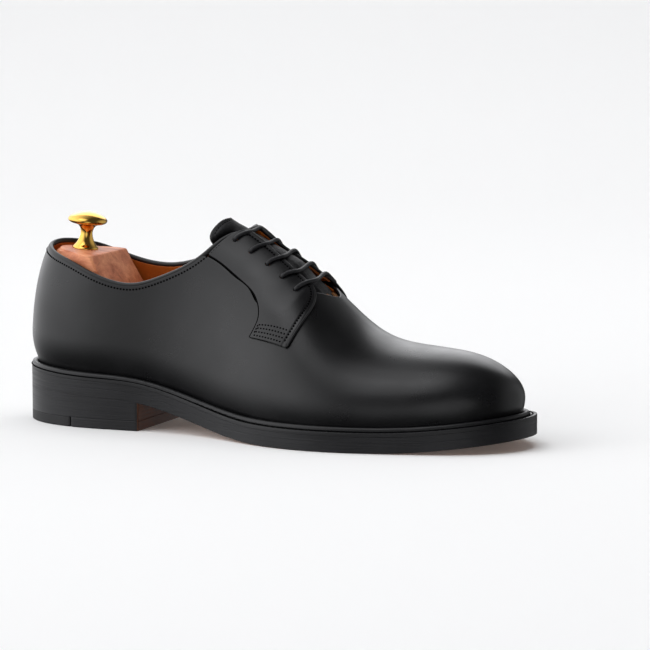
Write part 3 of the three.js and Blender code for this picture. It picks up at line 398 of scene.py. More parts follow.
def weld(mesh):
    """Merges points that coincide, and turns all faces outwards."""
    work = bmesh.new()
    work.from_mesh(mesh)
    bmesh.ops.remove_doubles(work, verts=work.verts, dist=2e-6)
    bmesh.ops.dissolve_degenerate(work, edges=work.edges, dist=1e-7)
    bmesh.ops.recalc_face_normals(work, faces=work.faces)
    work.to_mesh(mesh)
    work.free()
    mesh.update()


def grid_faces(rows, columns, wrap_rows=False, wrap_columns=False, first=0):
    """Quads over a grid of points that is numbered row by row."""
    i = np.arange(rows if wrap_rows else rows - 1)
    j = np.arange(columns if wrap_columns else columns - 1)
    i, j = [a.ravel() for a in np.meshgrid(i, j, indexing="ij")]
    k, m = (i + 1) % rows, (j + 1) % columns
    return np.stack([i * columns + j, k * columns + j, k * columns + m, i * columns + m], -1) + first


def tube_faces(rings, size):
    """The faces of a tube of closed rings, with both ends capped."""
    faces = [tuple(f) for f in grid_faces(rings, size, False, True)]
    return faces + [tuple(range(size))[::-1], tuple(range((rings - 1) * size, rings * size))]


def loft(rings):
    """A closed solid through rings that hold the same number of points: (points, faces)."""
    rings = np.asarray(rings)
    return rings.reshape(-1, 3), tube_faces(*rings.shape[:2])


def shell(outer, inner, wraps=False):
    """A closed solid between two grids of columns: (points, faces)."""
    count, rows = outer.shape[:2]
    size = count * rows
    faces = [grid_faces(count, rows, wraps), grid_faces(count, rows, wraps, first=size)[:, ::-1]]
    i = np.arange(count if wraps else count - 1)
    k = (i + 1) % count
    for j, flip in ((0, 1), (rows - 1, -1)):
        a, b = i * rows + j, k * rows + j
        faces.append(np.stack([a, size + a, size + b, b], -1)[:, ::flip])
    if not wraps:
        j = np.arange(rows - 1)
        for c, flip in ((0, -1), (count - 1, 1)):
            a = c * rows + j
            faces.append(np.stack([a, size + a, size + a + 1, a + 1], -1)[:, ::flip])
    points = np.concatenate([outer.reshape(-1, 3), inner.reshape(-1, 3)])
    return points, np.concatenate(faces)


def spots_at(at, run, path):
    """The points of a path at these distances along it; run is what run_along says of the path."""
    return np.stack([np.interp(at, run, column) for column in path.T], -1)


def resample(path, step, closed=False):
    """Points along a path at even steps of about this length."""
    path = np.asarray(path, float)
    if closed:
        path = np.vstack([path, path[:1]])
    run = run_along(path)
    count = max(int(round(run[-1] / step)), 2)
    at = np.linspace(0, run[-1], count + 1)
    return spots_at(at[:-1] if closed else at, run, path)


def soften(path, passes):
    """A path with its corners rounded off, its ends held."""
    path = np.array(path, float)
    for _ in range(passes):
        path[1:-1] = path[1:-1] * 0.5 + (path[:-2] + path[2:]) * 0.25
    return path


def tangents(path, closed=False):
    if closed:
        return unit(np.roll(path, -1, axis=0) - np.roll(path, 1, axis=0))
    return unit(np.gradient(path, axis=0))


def swept(path, normals, section, scale=1.0):
    """A section of (outward, sideways) offsets carried along a path: (points, faces)."""
    ahead = tangents(path)
    out = unit(normals - ahead * (normals * ahead).sum(-1, keepdims=True))
    across = np.cross(ahead, out)
    size = np.broadcast_to(scale, len(path))[:, None, None]
    up, side = section.T[:, None, :, None]
    return loft(path[:, None] + size * (up * out[:, None] + side * across[:, None]))


def circle(radius, count, flat=1.0):
    turn = np.arange(count) * 2 * np.pi / count
    return np.stack([radius * flat * np.cos(turn), radius * np.sin(turn)], -1)


def join(parts):
    """Several (points, faces) as one."""
    points, faces, first = [], [], 0
    for p, f in parts:
        points.append(p)
        faces += [tuple(int(i) + first for i in face) for face in f]
        first += len(p)
    return np.concatenate(points), faces


def stitches(rows, pitch, length, radius, sink=0.35):
    """Threads laid along rows of (path, outward normals): one rounded bead for each stitch."""
    rings = [(-1, 0.25), (-0.8, 0.75), (-0.35, 1), (0.35, 1), (0.8, 0.75), (1, 0.25)]
    up, side = circle(1.0, 6).T[:, :, None]
    parts = []
    for path, normals in rows:
        both = resample(np.hstack([path, normals]), pitch / 4)
        run = run_along(both[:, :3])
        at = np.arange(pitch / 2, run[-1] - pitch / 4, pitch)
        centre, out = spots_at(at, run, both[:, :3]), unit(spots_at(at, run, both[:, 3:]))
        ahead = spots_at(at, run, tangents(both[:, :3]))
        ahead = unit(ahead - out * (ahead * out).sum(-1, keepdims=True))
        across = np.cross(ahead, out)
        centre = centre - out * radius * sink
        for c, a, o, s in zip(centre, ahead, out, across):
            round_it = radius * (up * o + side * s)
            parts.append(loft([c + a * (u * length / 2) + r * round_it for u, r in rings]))
    return join(parts)


# ------------------------------------------------------------------ materials
class Look:
    """A principled material and short ways to wire procedural nodes into it."""

    def __init__(self, name, roughness, metallic=0.0, **sockets):
        self.material = bpy.data.materials.new(name)
        self.material.use_nodes = True
        self.tree = self.material.node_tree
        self.shader = self.tree.nodes["Principled BSDF"]
        self.shader.inputs["Roughness"].default_value = roughness
        self.shader.inputs["Metallic"].default_value = metallic
        for socket, value in sockets.items():
            self.shader.inputs[socket.replace("_", " ")].default_value = value
        self.place = self.tree.nodes.new("ShaderNodeTexCoord").outputs["Object"]

    def node(self, kind, inputs=(), **settings):
        made = self.tree.nodes.new(kind)
        for key, value in settings.items():
            setattr(made, key, value)
        for key, value in dict(inputs).items():
            if isinstance(value, bpy.types.NodeSocket):
                self.tree.links.new(value, made.inputs[key])
            else:
                made.inputs[key].default_value = value
        return made

    def stretched(self, scale):
        return self.node("ShaderNodeMapping", {"Vector": self.place, "Scale": scale}).outputs["Vector"]

    def noise(self, scale, detail=3.0, place=None, rough=0.5, bent=0.0):
        wired = {"Vector": place or self.place, "Scale": scale, "Detail": detail, "Roughness": rough}
        return self.node("ShaderNodeTexNoise", {**wired, "Distortion": bent}).outputs["Fac"]

    def cells(self, scale):
        wired = {"Vector": self.place, "Scale": scale}
        return self.node("ShaderNodeTexVoronoi", wired).outputs["Distance"]

    def ramp(self, value, stops):
        made = self.node("ShaderNodeValToRGB", {"Fac": value})
        elements = made.color_ramp.elements
        while len(elements) < len(stops):
            elements.new(0.5)
        for element, (at, color) in zip(elements, stops):
            element.position, element.color = at, (*color, 1)
        return made.outputs["Color"]

    def ranged(self, value, low, high, start=0.0, stop=1.0):
        wired = {"Value": value, "From Min": start, "From Max": stop, "To Min": low, "To Max": high}
        return self.node("ShaderNodeMapRange", wired).outputs["Result"]

    def math(self, operation, a, b):
        return self.node("ShaderNodeMath", {0: a, 1: b}, operation=operation).outputs[0]

    def weighted(self, *shares):
        """The sum of (value, weight) pairs."""
        total, *others = [self.math("MULTIPLY", value, weight) for value, weight in shares]
        for other in others:
            total = self.math("ADD", total, other)
        return total

    def color(self, value, *stops):
        self.tree.links.new(self.ramp(value, stops), self.shader.inputs["Base Color"])

    def roughness(self, value, low, high, start=0.0, stop=1.0):
        self.tree.links.new(self.ranged(value, low, high, start, stop), self.shader.inputs["Roughness"])

    def bump(self, height, millimetres, strength=1.0):
        wired = {"Height": height, "Distance": millimetres / 1000, "Strength": strength}
        made = self.node("ShaderNodeBump", wired)
        target = self.shader.inputs["Normal"]
        if target.is_linked:
            self.tree.links.new(target.links[0].from_socket, made.inputs["Normal"])
        self.tree.links.new(made.outputs["Normal"], target)


def smooth_leather(name="upper_leather", dark=0.003, light=0.006, rough=0.3):
    """Black polished calf: nearly all of its look is what it reflects."""
    look = Look(name, rough, Coat_Weight=0.1, Coat_Roughness=0.2, IOR=1.5)
    look.color(look.noise(38, 4), (0.3, (dark, dark, dark * 1.1)), (0.7, (light, light, light * 1.15)))
    look.roughness(look.noise(55, 5), rough - 0.04, rough + 0.07, 0.3, 0.7)
    look.bump(look.cells(1700), 0.03, 0.3)
    look.bump(look.noise(650, 3), 0.05, 0.4)
    look.bump(look.noise(28, 2), 0.9, 0.05)
    return look.material


def grained_leather():
    look = Look("tongue_leather", 0.5, IOR=1.42)
    look.color(look.noise(60, 4), (0.3, (0.004, 0.004, 0.0045)), (0.7, (0.008, 0.008, 0.009)))
    look.roughness(look.noise(400, 4), 0.42, 0.6)
    look.bump(look.cells(850), 0.16, 0.9)
    look.bump(look.noise(1600, 3), 0.05, 0.5)
    return look.material


def dyed_edge(name="heel_leather", dark=(0.005, 0.005, 0.006), light=(0.012, 0.012, 0.014), rough=0.36):
    """The burnished edge of stacked leather: fine lines that run along it."""
    look = Look(name, rough, IOR=1.48)
    lines = look.noise(1, 4, look.stretched((28, 28, 1900)))
    look.color(look.weighted((lines, 0.6), (look.noise(70, 4), 0.4)), (0.35, dark), (0.65, light))
    look.roughness(lines, rough - 0.07, rough + 0.12, 0.3, 0.7)
    look.bump(lines, 0.12, 0.8)
    look.bump(look.noise(900, 3), 0.04, 0.4)
    return look.material


def tan_leather(name, dark, light, rough=0.55, pore=900):
    look = Look(name, rough, IOR=1.46)
    cloud = look.noise(45, 5, rough=0.6)
    fine = look.noise(420, 4)
    look.color(look.weighted((cloud, 0.75), (fine, 0.25)), (0.3, dark), (0.7, light))
    look.roughness(fine, rough - 0.08, rough + 0.12, 0.3, 0.7)
    look.bump(look.cells(pore), 0.05, 0.5)
    look.bump(look.noise(260, 4), 0.08, 0.4)
    return look.material


def cedar():
    """Straight-grained cedar: faint bands along the shoe, bent a little, with fine pores."""
    look = Look("cedar", 0.5, IOR=1.45)
    wide = look.noise(1, 4, look.stretched((26, 150, 190)), bent=1.2)
    fine = look.noise(1, 5, look.stretched((90, 1700, 1300)))
    rings = look.node("ShaderNodeTexWave", {
        "Vector": look.stretched((0.5, 1.0, 1.0)), "Scale": 40, "Distortion": 7, "Detail": 3,
        "Detail Scale": 0.7}, wave_type="RINGS", rings_direction="Z").outputs["Fac"]
    mixed = look.weighted((wide, 0.55), (fine, 0.3), (rings, 0.16))
    look.color(mixed, (0.3, (0.4, 0.115, 0.05)), (0.5, (0.64, 0.22, 0.105)), (0.72, (0.88, 0.39, 0.2)))
    look.roughness(fine, 0.42, 0.6)
    look.bump(fine, 0.06, 0.5)
    return look.material


def metal(name, color, rough, lines=(600, 600, 600)):
    look = Look(name, rough, 1.0)
    fine = look.noise(1, 3, look.stretched(lines))
    look.color(fine, (0.3, [c * 0.9 for c in color]), (0.7, color))
    look.roughness(fine, rough * 0.7, rough * 1.35)
    look.bump(fine, 0.004, 0.4)
    return look.material


def cord_cloth(name, color, rough, scale=1500, shine=0.5):
    look = Look(name, rough, IOR=1.46, Specular_IOR_Level=shine)
    twist = look.noise(1, 3, look.stretched((scale, scale * 1.6, scale)))
    look.color(twist, (0.3, [c * 0.55 for c in color]), (0.7, color))
    look.roughness(twist, rough - 0.08, rough + 0.1)
    look.bump(twist, 0.12, 0.6)
    return look.material


def rubber():
    look = Look("sole_rubber", 0.62)
    fine = look.noise(1300, 3)
    look.color(look.noise(80, 4), (0.3, (0.008, 0.008, 0.009)), (0.7, (0.014, 0.014, 0.015)))
    look.roughness(fine, 0.5, 0.68)
    look.bump(fine, 0.05, 0.5)
    return look.material


def crumb(name, dark, light, scale):
    look = Look(name, 0.85)
    grains = look.cells(scale)
    look.color(grains, (0.1, dark), (0.6, light))
    look.roughness(grains, 0.75, 0.95)
    look.bump(grains, 0.2, 0.6)
    return look.material


UPPER, TONGUE_BLACK, EDGE, RUBBER, CEDAR = smooth_leather(), grained_leather(), dyed_edge(), rubber(), cedar()
WELT_BLACK = dyed_edge("welt_leather", (0.004, 0.004, 0.005), (0.009, 0.009, 0.01), 0.36)
BREAST = dyed_edge("heel_breast", (0.05, 0.016, 0.006), (0.12, 0.04, 0.014), 0.5)
SOLE_TAN = tan_leather("sole_leather", (0.3, 0.13, 0.055), (0.43, 0.215, 0.1), 0.42, 600)
LINING_TAN = tan_leather("lining_leather", (0.38, 0.08, 0.006), (0.56, 0.145, 0.015), 0.5)
INSOLE_TAN = tan_leather("insole_leather", (0.38, 0.22, 0.12), (0.55, 0.35, 0.2), 0.6)
LACE = cord_cloth("lace", (0.012, 0.012, 0.014), 0.5)
# Near-black cloth of low shine: the real stitches, and also the strips and cords laid in seams and grooves as
# painted shade.
THREAD_AND_SHADE = cord_cloth("thread_and_shade", (0.002, 0.002, 0.0022), 0.8, 2500, 0.05)
BEAD_BLACK = smooth_leather("edge_leather", 0.003, 0.005, 0.4)
DRILL = cord_cloth("lining_fabric", (0.24, 0.1, 0.03), 0.85, 900)
BRASS = metal("knob_brass", (1.0, 0.6, 0.13), 0.1)
NAIL_BRASS = metal("nail_brass", (0.8, 0.58, 0.27), 0.35)
STEEL = metal("tree_steel", (0.62, 0.62, 0.63), 0.3, (60, 2400, 2400))
WIRE = metal("spring_steel", (0.5, 0.5, 0.51), 0.28)
SHANK_STEEL = metal("shank_steel", (0.32, 0.34, 0.38), 0.35)
CORK = crumb("cork", (0.16, 0.08, 0.035), (0.42, 0.27, 0.15), 700)
BOARD = crumb("stiffener", (0.24, 0.16, 0.1), (0.4, 0.29, 0.19), 1400)
LACE_TIP = Look("lace_tip", 0.22).material


# ------------------------------------------------------------------ upper
def flank_places(step, dense):
    """Places round the whole outline, closer together in the given spans of x."""
    places = list(np.arange(0, TURN, step))
    for side in (-1, 1):
        for low, high, count in dense:
            places += list(place_at(np.linspace(low, high, count), side))
    return np.unique(np.round(np.mod(places, TURN), 4))


throat_edge = Spline([(x, float(flank_v(x, z))) for x, z in THROAT_EDGE])
THROAT_TURN = THROAT_EDGE[-1][0]
THROAT_RISE = 1 - throat_edge(THROAT_TURN)


def throat_v(x):
    """The throat edge, which runs round from one side to the other without a corner on the ridge."""
    left = np.clip((THROAT - x) / (THROAT - THROAT_TURN), 0, 1)
    return np.where(x < THROAT_TURN, throat_edge(x), 1 - THROAT_RISE * left**0.62)


seam_height = Spline([(x - SEAM_GAP, z - SEAM_GAP) for x, z in SEAM[:8]])
edge_v = Spline([(x, float(flank_v(x, z))) for x, z in FRONT_EDGE[:5]] + [(THROAT, 1)])


def body_top(places, below):
    """The top of the upper: below the topline, then along the rear seam of the facings, then the throat."""
    x = outline(places)[:, 0]
    behind = x < NOTCH + 1
    rim = np.ones(len(x))
    rim[behind] = rim_v(places[behind], below)
    seam = np.where(x > 112, flank_v(x, seam_height(x)), 1)
    top = np.where(x < NOTCH, np.minimum(rim, seam), throat_v(x))
    return np.where(x >= THROAT, 1, top)


def rounding(radius, from_edge):
    """How far a rounded edge of this radius lies below a flat one."""
    return radius - np.sqrt(np.maximum(radius**2 - np.maximum(radius - from_edge, 0) ** 2, 0))


def rows_to(places, top, count, rounded):
    """Rows of v for each column, with close rows under its top edge, and how far each is below it."""
    lift = np.linalg.norm(form(places, top) - form(places, top - 0.01), axis=-1) / 0.01
    near = np.array([1.6, 1.0, 0.6, 0.32, 0.12, 0])[None, :] / lift[:, None]
    base = (np.linspace(0, 1, count) ** 1.1)[None, :] * (top[:, None] - 2.4 / lift[:, None])
    rows = np.concatenate([base, top[:, None] - near], 1)
    below = np.concatenate([np.full(base.shape, 9.0), near * lift[:, None]], 1)
    return rows, rounding(rounded, below)


def footed(grid, x):
    """Columns that go on down behind the welt's bead."""
    foot = grid[:, :1].copy()
    foot[:, 0, 2] = sole_line(x) + SOLE_TOP + 0.3
    return np.concatenate([foot, grid], 1)


def make_upper():
    places = flank_places(1.5, [(112, 122, 30), (148, 156, 60), (168, 188, 70)])
    x = outline(places)[:, 0]
    top = body_top(places, 1.7)
    rows, drop = rows_to(places, top, 46, 0.7)
    drop = np.where((x >= THROAT)[:, None], 0, drop)
    column = places[:, None]
    outer = footed(skin(column, rows, drop), x)
    inner = footed(skin(column, rows, np.maximum(LEATHER, drop)), x)
    piece("vamp_and_quarters", shell(outer, inner, True), UPPER, sharp=50)


def lining_depth(p):
    """The lining lies deeper where the heel counter and the toe puff are between it and the upper."""
    counter = smooth((96 - p[..., 0]) / 14) * smooth((feather_height(p[..., 0]) + 50 - p[..., 2]) / 12)
    puff = smooth((p[..., 0] - 222) / 12)
    return LINING_FROM + (LINING_OVER_STIFFENER - LINING_FROM) * np.maximum(counter, puff)


def make_lining():
    places = np.arange(place_at(LINING_END, 1) - TURN, place_at(LINING_END, -1), 1.5)
    x = outline(places)[:, 0]
    top = np.ones(len(x))
    rimmed = x < TOPLINE_END
    top[rimmed] = rim_v(places[rimmed], 2.2)
    top = np.where(x < 124, top, np.minimum(top, edge_v(x) - 0.09))
    rows, drop = rows_to(places, top, 30, 0.4)
    column = places[:, None]
    depth = lining_depth(form(column, rows))
    outer = footed(skin(column, rows, depth + drop), x)
    inner = footed(skin(column, rows, depth + LINING - 0.5 * drop), x)
    parts = [shell(outer, inner)]
    t, s = np.linspace(0.02, 0.62, 110)[:, None], np.linspace(0.25, 0.93, 24)[None, :]
    for side in (-1, 1):
        parts.append(shell(facing_skin(side, s, t, 1.48), facing_skin(side, s, t, 2.3)))
    piece("quarter_lining", join(parts), LINING_TAN, sharp=50)


seam_curve, edge_curve = curve_through(SEAM), curve_through(FRONT_EDGE)


def facing_lift(x, z):
    """How far a facing lies outside the form: little high up, and over a leather's thickness on the vamp."""
    edge = form(place_at(x, -1), throat_v(np.minimum(x, THROAT)))[..., 2]
    throat = np.where(x > NOTCH, edge, SEAM[7][1])
    return 0.25 + 1.45 * smooth((throat + 20 - z) / 17)


def facing_point(side, s, t, depth=0.0):
    """s runs from the rear seam to the front edge and t from the top to the bottom of the tab."""
    s, t = np.broadcast_arrays(np.asarray(s, float), np.asarray(t, float))
    seam, edge = seam_curve(t), edge_curve(t)
    x = seam[..., 0] + (edge[..., 0] - seam[..., 0]) * s
    v = flank_v(seam[..., 0], seam[..., 1]) * (1 - s) + flank_v(edge[..., 0], edge[..., 1]) * s
    place = place_at(x, side)
    z = form(place_at(x, -1), v)[..., 2]
    return place, v, facing_lift(x, z) - depth + edge_rise(side, s, t)


def edge_rise(side, s, t):
    """The facing stands up a little along its lacing edge, and more at its top corner."""
    edge, corner = (0.2, 1.8) if side < 0 else (1.1, 3.0)
    return smooth((s - 0.3) / 0.7) * (edge * smooth((0.75 - t) / 0.3) + corner * smooth((0.3 - t) / 0.3))


def facing_skin(side, s, t, depth=0.0):
    place, v, lift = facing_point(side, s, t, depth)
    return skin(place, v, -lift)


def facing_widths(side, t):
    s = np.linspace(0, 1, 30)
    points = facing_skin(side, s[None, :], np.asarray(t)[:, None])
    return np.linalg.norm(np.diff(points, axis=1), axis=-1).sum(1)


def make_facing(side, name):
    t = np.linspace(0, 1, 150)
    width = facing_widths(side, t)
    near = np.array([0, 0.1, 0.25, 0.5, 0.8, 1.2])
    middle = np.linspace(0, 1, 44)[1:-1]
    s = np.concatenate([
        near[None, :] / width[:, None],
        1.6 / width[:, None] + (1 - 3.2 / width[:, None]) * middle[None, :],
        1 - near[::-1][None, :] / width[:, None]], 1)
    column = np.broadcast_to(t[:, None], s.shape)
    from_seam, from_edge = s * width[:, None], (1 - s) * width[:, None]
    from_top, from_bottom = column * FACING_LENGTH, (1 - column) * FACING_LENGTH
    edge = np.minimum(np.minimum(from_seam, from_edge), np.minimum(from_top + 0.2, from_bottom))
    drop = rounding(0.55, edge)
    groove = 0.22 * np.exp(-((from_edge - FACING_STITCH) / 0.45) ** 2)
    outer = facing_skin(side, s, column, drop + groove)
    inner = facing_skin(side, s, column, np.maximum(LEATHER, drop))
    pierce(piece(name, shell(outer, inner), UPPER, sharp=50), side)


def eyelets(side):
    return EYELETS_OUTER if side < 0 else EYELETS_INNER


def pierce(made, side):
    """Punches the eyelets through a facing."""
    parts = []
    for x, z in eyelets(side):
        place, v = place_at(x, side), flank_v(x, z)
        centre, out = skin(place, v, 0), outward(place, v)
        path = np.stack([centre - out * 5, centre + out * 5])
        side_way = np.cross(out, [0, 0, 1.0])
        parts.append(swept(path, np.stack([side_way, side_way]), circle(EYELET_RADIUS, 20)))
    mesh = mesh_of("punch", *join(parts))
    weld(mesh)
    punch = placed("punch", mesh)
    cutter = made.modifiers.new("eyelets", "BOOLEAN")
    cutter.operation, cutter.object, cutter.solver = "DIFFERENCE", punch, "EXACT"
    bpy.context.view_layer.update()
    cut = bpy.data.meshes.new_from_object(made.evaluated_get(bpy.context.evaluated_depsgraph_get()))
    made.modifiers.clear()
    old, made.data = made.data, cut
    bpy.data.meshes.remove(old)
    bpy.data.objects.remove(punch)


def make_seam_backing(side, name):
    """A black strip behind the rear seam of a facing, so that the seam's groove shows no lining; its
    near-black matte cloth paints the groove's shade.
    """
    t = np.linspace(-0.02, 0.75, 60)
    curve = seam_curve(t)
    ahead = tangents(curve)
    across = np.stack([-ahead[:, 1], ahead[:, 0]], -1)
    offsets = np.linspace(-3.5, 3.5, 5)
    xz = curve[:, None] + across[:, None] * offsets[None, :, None]
    place, v = place_at(xz[..., 0], side), flank_v(xz[..., 0], xz[..., 1])
    piece(name, shell(skin(place, v, 1.45), skin(place, v, 1.9)), THREAD_AND_SHADE, "upper_leather", sharp=50)


def bead_path():
    """From the foot of the inner facing up its front edge, round the mouth, and down the outer one."""
    rim = np.arange(RIM_FROM + 2, RIM_TO - 2, 1.0)
    v = rim_v(rim, 1.5)
    mouth, mouth_out = skin(rim, v, 1.45), outward(rim, v)
    t = np.linspace(0.03, 0.995, 90)
    sides = []
    for side in (1, -1):
        place, v, lift = facing_point(side, np.ones(len(t)), t)
        sides.append((skin(place, v, 0.75 - lift), outward(place, v)))
    (inner, inner_out), (outer, outer_out) = sides
    path = np.vstack([inner[::-1], mouth, outer])
    out = np.vstack([inner_out[::-1], mouth_out, outer_out])
    both = soften(resample(np.hstack([path, out]), 0.9), 6)
    return both[:, :3], unit(both[:, 3:])


def make_bead():
    path, out = bead_path()
    run = run_along(path)
    from_end, edge_run = np.minimum(run, run[-1] - run), 78.0
    radius = 0.8 + 0.7 * smooth((from_end - edge_run + 8) / 16)
    radius *= 0.35 + 0.65 * smooth(from_end / 1.2)
    shape = swept(path, out, circle(1.0, 16), radius)
    piece("topline_bead", shape, BEAD_BLACK, "upper_leather", replaced="topline_binding", sharp=60)


def tab_rows(side):
    """The four rows of stitches across the tab, and the one that closes them at the rear."""
    rows = []
    for above in TAB_ROWS:
        width = facing_widths(side, np.array([1 - above / FACING_LENGTH]))[0]
        s = np.linspace(1.8 / width, 1 - 3.4 / width, 24)
        rows.append(facing_row(side, s, 1 - above / (FACING_LENGTH + 43 * s)))
    t = np.linspace(1 - TAB_ROWS[-1] / FACING_LENGTH, 1 - TAB_ROWS[0] / FACING_LENGTH, 12)
    return rows + [facing_row(side, 1.8 / facing_widths(side, t), t)]


def make_upper_stitches():
    rim = np.arange(RIM_FROM + 6, RIM_TO - 6, 1.0)
    v = rim_v(rim, 3.9)
    row = skin(rim, v, 0), outward(rim, v)
    piece("topline_stitches", stitches([row], STITCH_PITCH, 1.35, 0.58, STITCH_SINK), THREAD_AND_SHADE, "lace")
    for side, name in ((-1, "lateral"), (1, "medial")):
        t = np.linspace(0.05, 0.985, 120)
        front = facing_row(side, 1 - FACING_STITCH / facing_widths(side, t), t)
        shape = stitches([front, *tab_rows(side)], STITCH_PITCH, 1.3, 0.56, STITCH_SINK)
        piece("facing_stitches_" + name, shape, THREAD_AND_SHADE, "lace")
        # A near-black cord along the rear seam of each facing, down to the foot of its tab: a painted shadow
        # line.
        t = np.linspace(0.02, 0.995, 110)
        path, out = facing_row(side, 0 * t, t)
        shape = swept(path - out * 0.35, out, circle(SEAM_SHADE_CORD, 10))
        piece("facing_seam_" + name, shape, THREAD_AND_SHADE, "lace", sharp=60)


def facing_row(side, s, t):
    place, v, lift = facing_point(side, s, t)
    return skin(place, v, 0.1 - lift), outward(place, v)


# ------------------------------------------------------------------ tongue
tongue_edge = Spline([(113, 0.66), (119, 0.66), (128, 0.64), (145, 0.58), (170, 0.52), (TONGUE_ROOT, 0.6)])


def tongue_depth(x, v, z):
    """The tongue lies under the facings, and its free end stands up out of the mouth."""
    middle = smooth((v - 0.81) / 0.09)
    free = smooth((z - topline_outer(x) + 0.5) / 4) * smooth((132 - x) / 8)
    root = smooth((x - 178) / 9)
    high = 0.6 + 2.1 * smooth((x - 163) / 10)
    under = 7.3 + (high - 7.3) * middle
    return (under * (1 - free) + 0.5 * free) * (1 - root) + 3.8 * root


def tongue_grid(extra, inset=0.0):
    """Points from the free end to the root, and from the outer edge to the inner one."""
    u = np.linspace(0, 1, 90)[:, None]
    w = np.linspace(-1, 1, 61)[None, :]
    rear = 120.5 - 8.5 * np.abs(w) ** 1.3 + 6 * np.abs(w) ** 10
    x = rear + inset + (TONGUE_ROOT - rear - inset) * u
    edge = tongue_edge(x)
    v = 1 - (1 - edge) * np.abs(w) * (1 - 0.012 * inset)
    place = np.where(w <= 0, place_at(x, -1), place_at(x, 1))
    z = form(place, v)[..., 2]
    lean = 1.6 * smooth((127 - x) / 10) * (1 - np.abs(w) ** 2)
    return skin(place, v, tongue_depth(x, v, z) + extra - lean)


def make_tongue():
    from_end = np.linspace(0, 76, 90)[:, None]
    from_side = (1 - np.abs(np.linspace(-1, 1, 61)))[None, :] * 26
    edge = np.minimum(from_end, from_side)
    drop = rounding(0.7, edge)
    groove = 0.25 * np.exp(-((edge - 2.6) / 0.5) ** 2)
    shape = shell(tongue_grid(drop + groove), tongue_grid(np.maximum(1.5, drop)))
    piece("tongue", shape, TONGUE_BLACK, sharp=50)
    piece("tongue_lining", shell(tongue_grid(1.6, 0.8), tongue_grid(2.3, 0.8)), LINING_TAN, sharp=50)
    grid = tongue_grid(0.15)
    out = np.cross(np.gradient(grid, axis=0), np.gradient(grid, axis=1))
    out = unit(out * np.sign(out[..., 2:3]))
    round_end = lambda g: np.vstack([g[:70, 5][::-1], g[3, 5:56], g[:70, 55]])
    row = soften(round_end(grid), 3), round_end(out)
    piece("tongue_stitches", stitches([row], 1.8, 1.2, 0.26), THREAD_AND_SHADE, "lace")


# ------------------------------------------------------------------ laces
def lace_half(row, side):
    """Points from under an eyelet, out of it and over the facing to its edge, with their outward normals."""
    x, z = eyelets(side)[row]
    v = flank_v(x, z)
    end = x + (LACE_SLANT if side < 0 else -1.5)
    edge = min(float(edge_v(end)), 0.95)
    points, normals = [], []
    high = 0 if side < 0 else 0.25
    under = [(0, -3.4), (0, -1.2)]
    over = [(0.02, 0.5), (0.2, 1.05), (0.6, 0.9 + high / 2), (1, 0.8 + high)]
    for share, lift in under + over:
        at, along = v + (edge - v) * share, x + (end - x) * share
        place = place_at(along, side)
        if lift > 0:
            lift += facing_lift(along, form(place, at)[2])
            lift += edge_rise(side, 0.6 + 0.4 * share, facing_t(along, z))
        points.append(skin(place, at, -lift))
        normals.append(outward(place, at))
    return points, normals


def facing_t(x, z):
    """How far down a facing a point is, measured along the line midway between its two long edges."""
    t = np.linspace(0, 1, 200)
    middle = (seam_curve(t) + edge_curve(t)) / 2
    return t[np.linalg.norm(middle - np.array([x, z]), axis=1).argmin()]


def tucked(spots, side):
    """Points under a facing, from (x, v), with their outward normals."""
    places = [(place_at(x, side), v) for x, v in spots]
    return [(skin(place, v, 4.6), outward(place, v)) for place, v in places]


def make_laces():
    """One lace through all the eyelets, in bars, with its two ends tucked under the facings."""
    route = tucked([(154, .45), (146, .48), (138, .56), (133.5, .66)], -1)
    for row in range(len(EYELETS_OUTER)):
        start = 1 if row % 2 else -1
        here, there = lace_half(row, start), lace_half(row, -start)
        middle = (here[0][-1] + there[0][-1]) / 2 + [0, 0, 0.1], unit(here[1][-1] + there[1][-1])
        route += [*zip(*here), middle, *zip(there[0][::-1], there[1][::-1])]
    route = np.array([np.concatenate(spot) for spot in route])
    both = resample(curve_through(route)(np.linspace(0, 1, 1400)), 0.45)
    path, out = both[:, :3], unit(both[:, 3:])
    piece("shoelace", swept(path, out, circle(LACE_RADIUS, 14, 0.82)), LACE, sharp=60)
    for name, spots, side in (("lace_tip_lateral", [(155.2, .446), (161, .43), (167, .41)], -1),
                              ("lace_tip_medial", [(148.8, .465), (143, .49), (137, .53)], 1)):
        spots = tucked(spots, side)
        path = curve_through([p for p, _ in spots])(np.linspace(0, 1, 24))
        out = np.repeat(spots[0][1][None], 24, axis=0)
        scale = 1.0 - 0.25 * np.linspace(0, 1, 24) ** 6
        piece(name, swept(path, out, circle(LACE_RADIUS, 16), scale), LACE_TIP, sharp=60)


# ------------------------------------------------------------------ heel and sole
def sole_loop(margin=sole_margin):
    """The edge of the sole in plan, or the outline moved out by another margin, with its outward normals."""
    places = np.arange(0, TURN, 0.8)
    points, normals = outline_at(places)
    return points + normals * np.broadcast_to(margin(points[:, 0]), len(places))[:, None], normals


def heel_loop(from_x, to_x):
    """A part of the heel in plan: its curved sides between two values of x, closed straight across.

    Where it starts behind the heel, its places are closer together at the rear."""
    x = np.linspace(from_x, to_x, 200)
    if from_x <= sole_plan["rear"]:
        x = from_x + (to_x - from_x) * (1 - np.cos(np.linspace(0, np.pi / 2, 200)))
        x = np.clip(x, sole_plan["rear"] + 0.01, to_x)
    outer = np.stack([x, sole_plan["outer"](x)], -1)
    inner = np.stack([x, sole_plan["inner"](x)], -1)
    loop = resample(np.vstack([outer, inner[::-1]]), 0.8, closed=True)
    for _ in range(2):
        loop = loop * 0.5 + (np.roll(loop, 1, axis=0) + np.roll(loop, -1, axis=0)) * 0.25
    ahead = tangents(loop, closed=True)
    return loop, np.stack([ahead[:, 1], -ahead[:, 0]], -1)


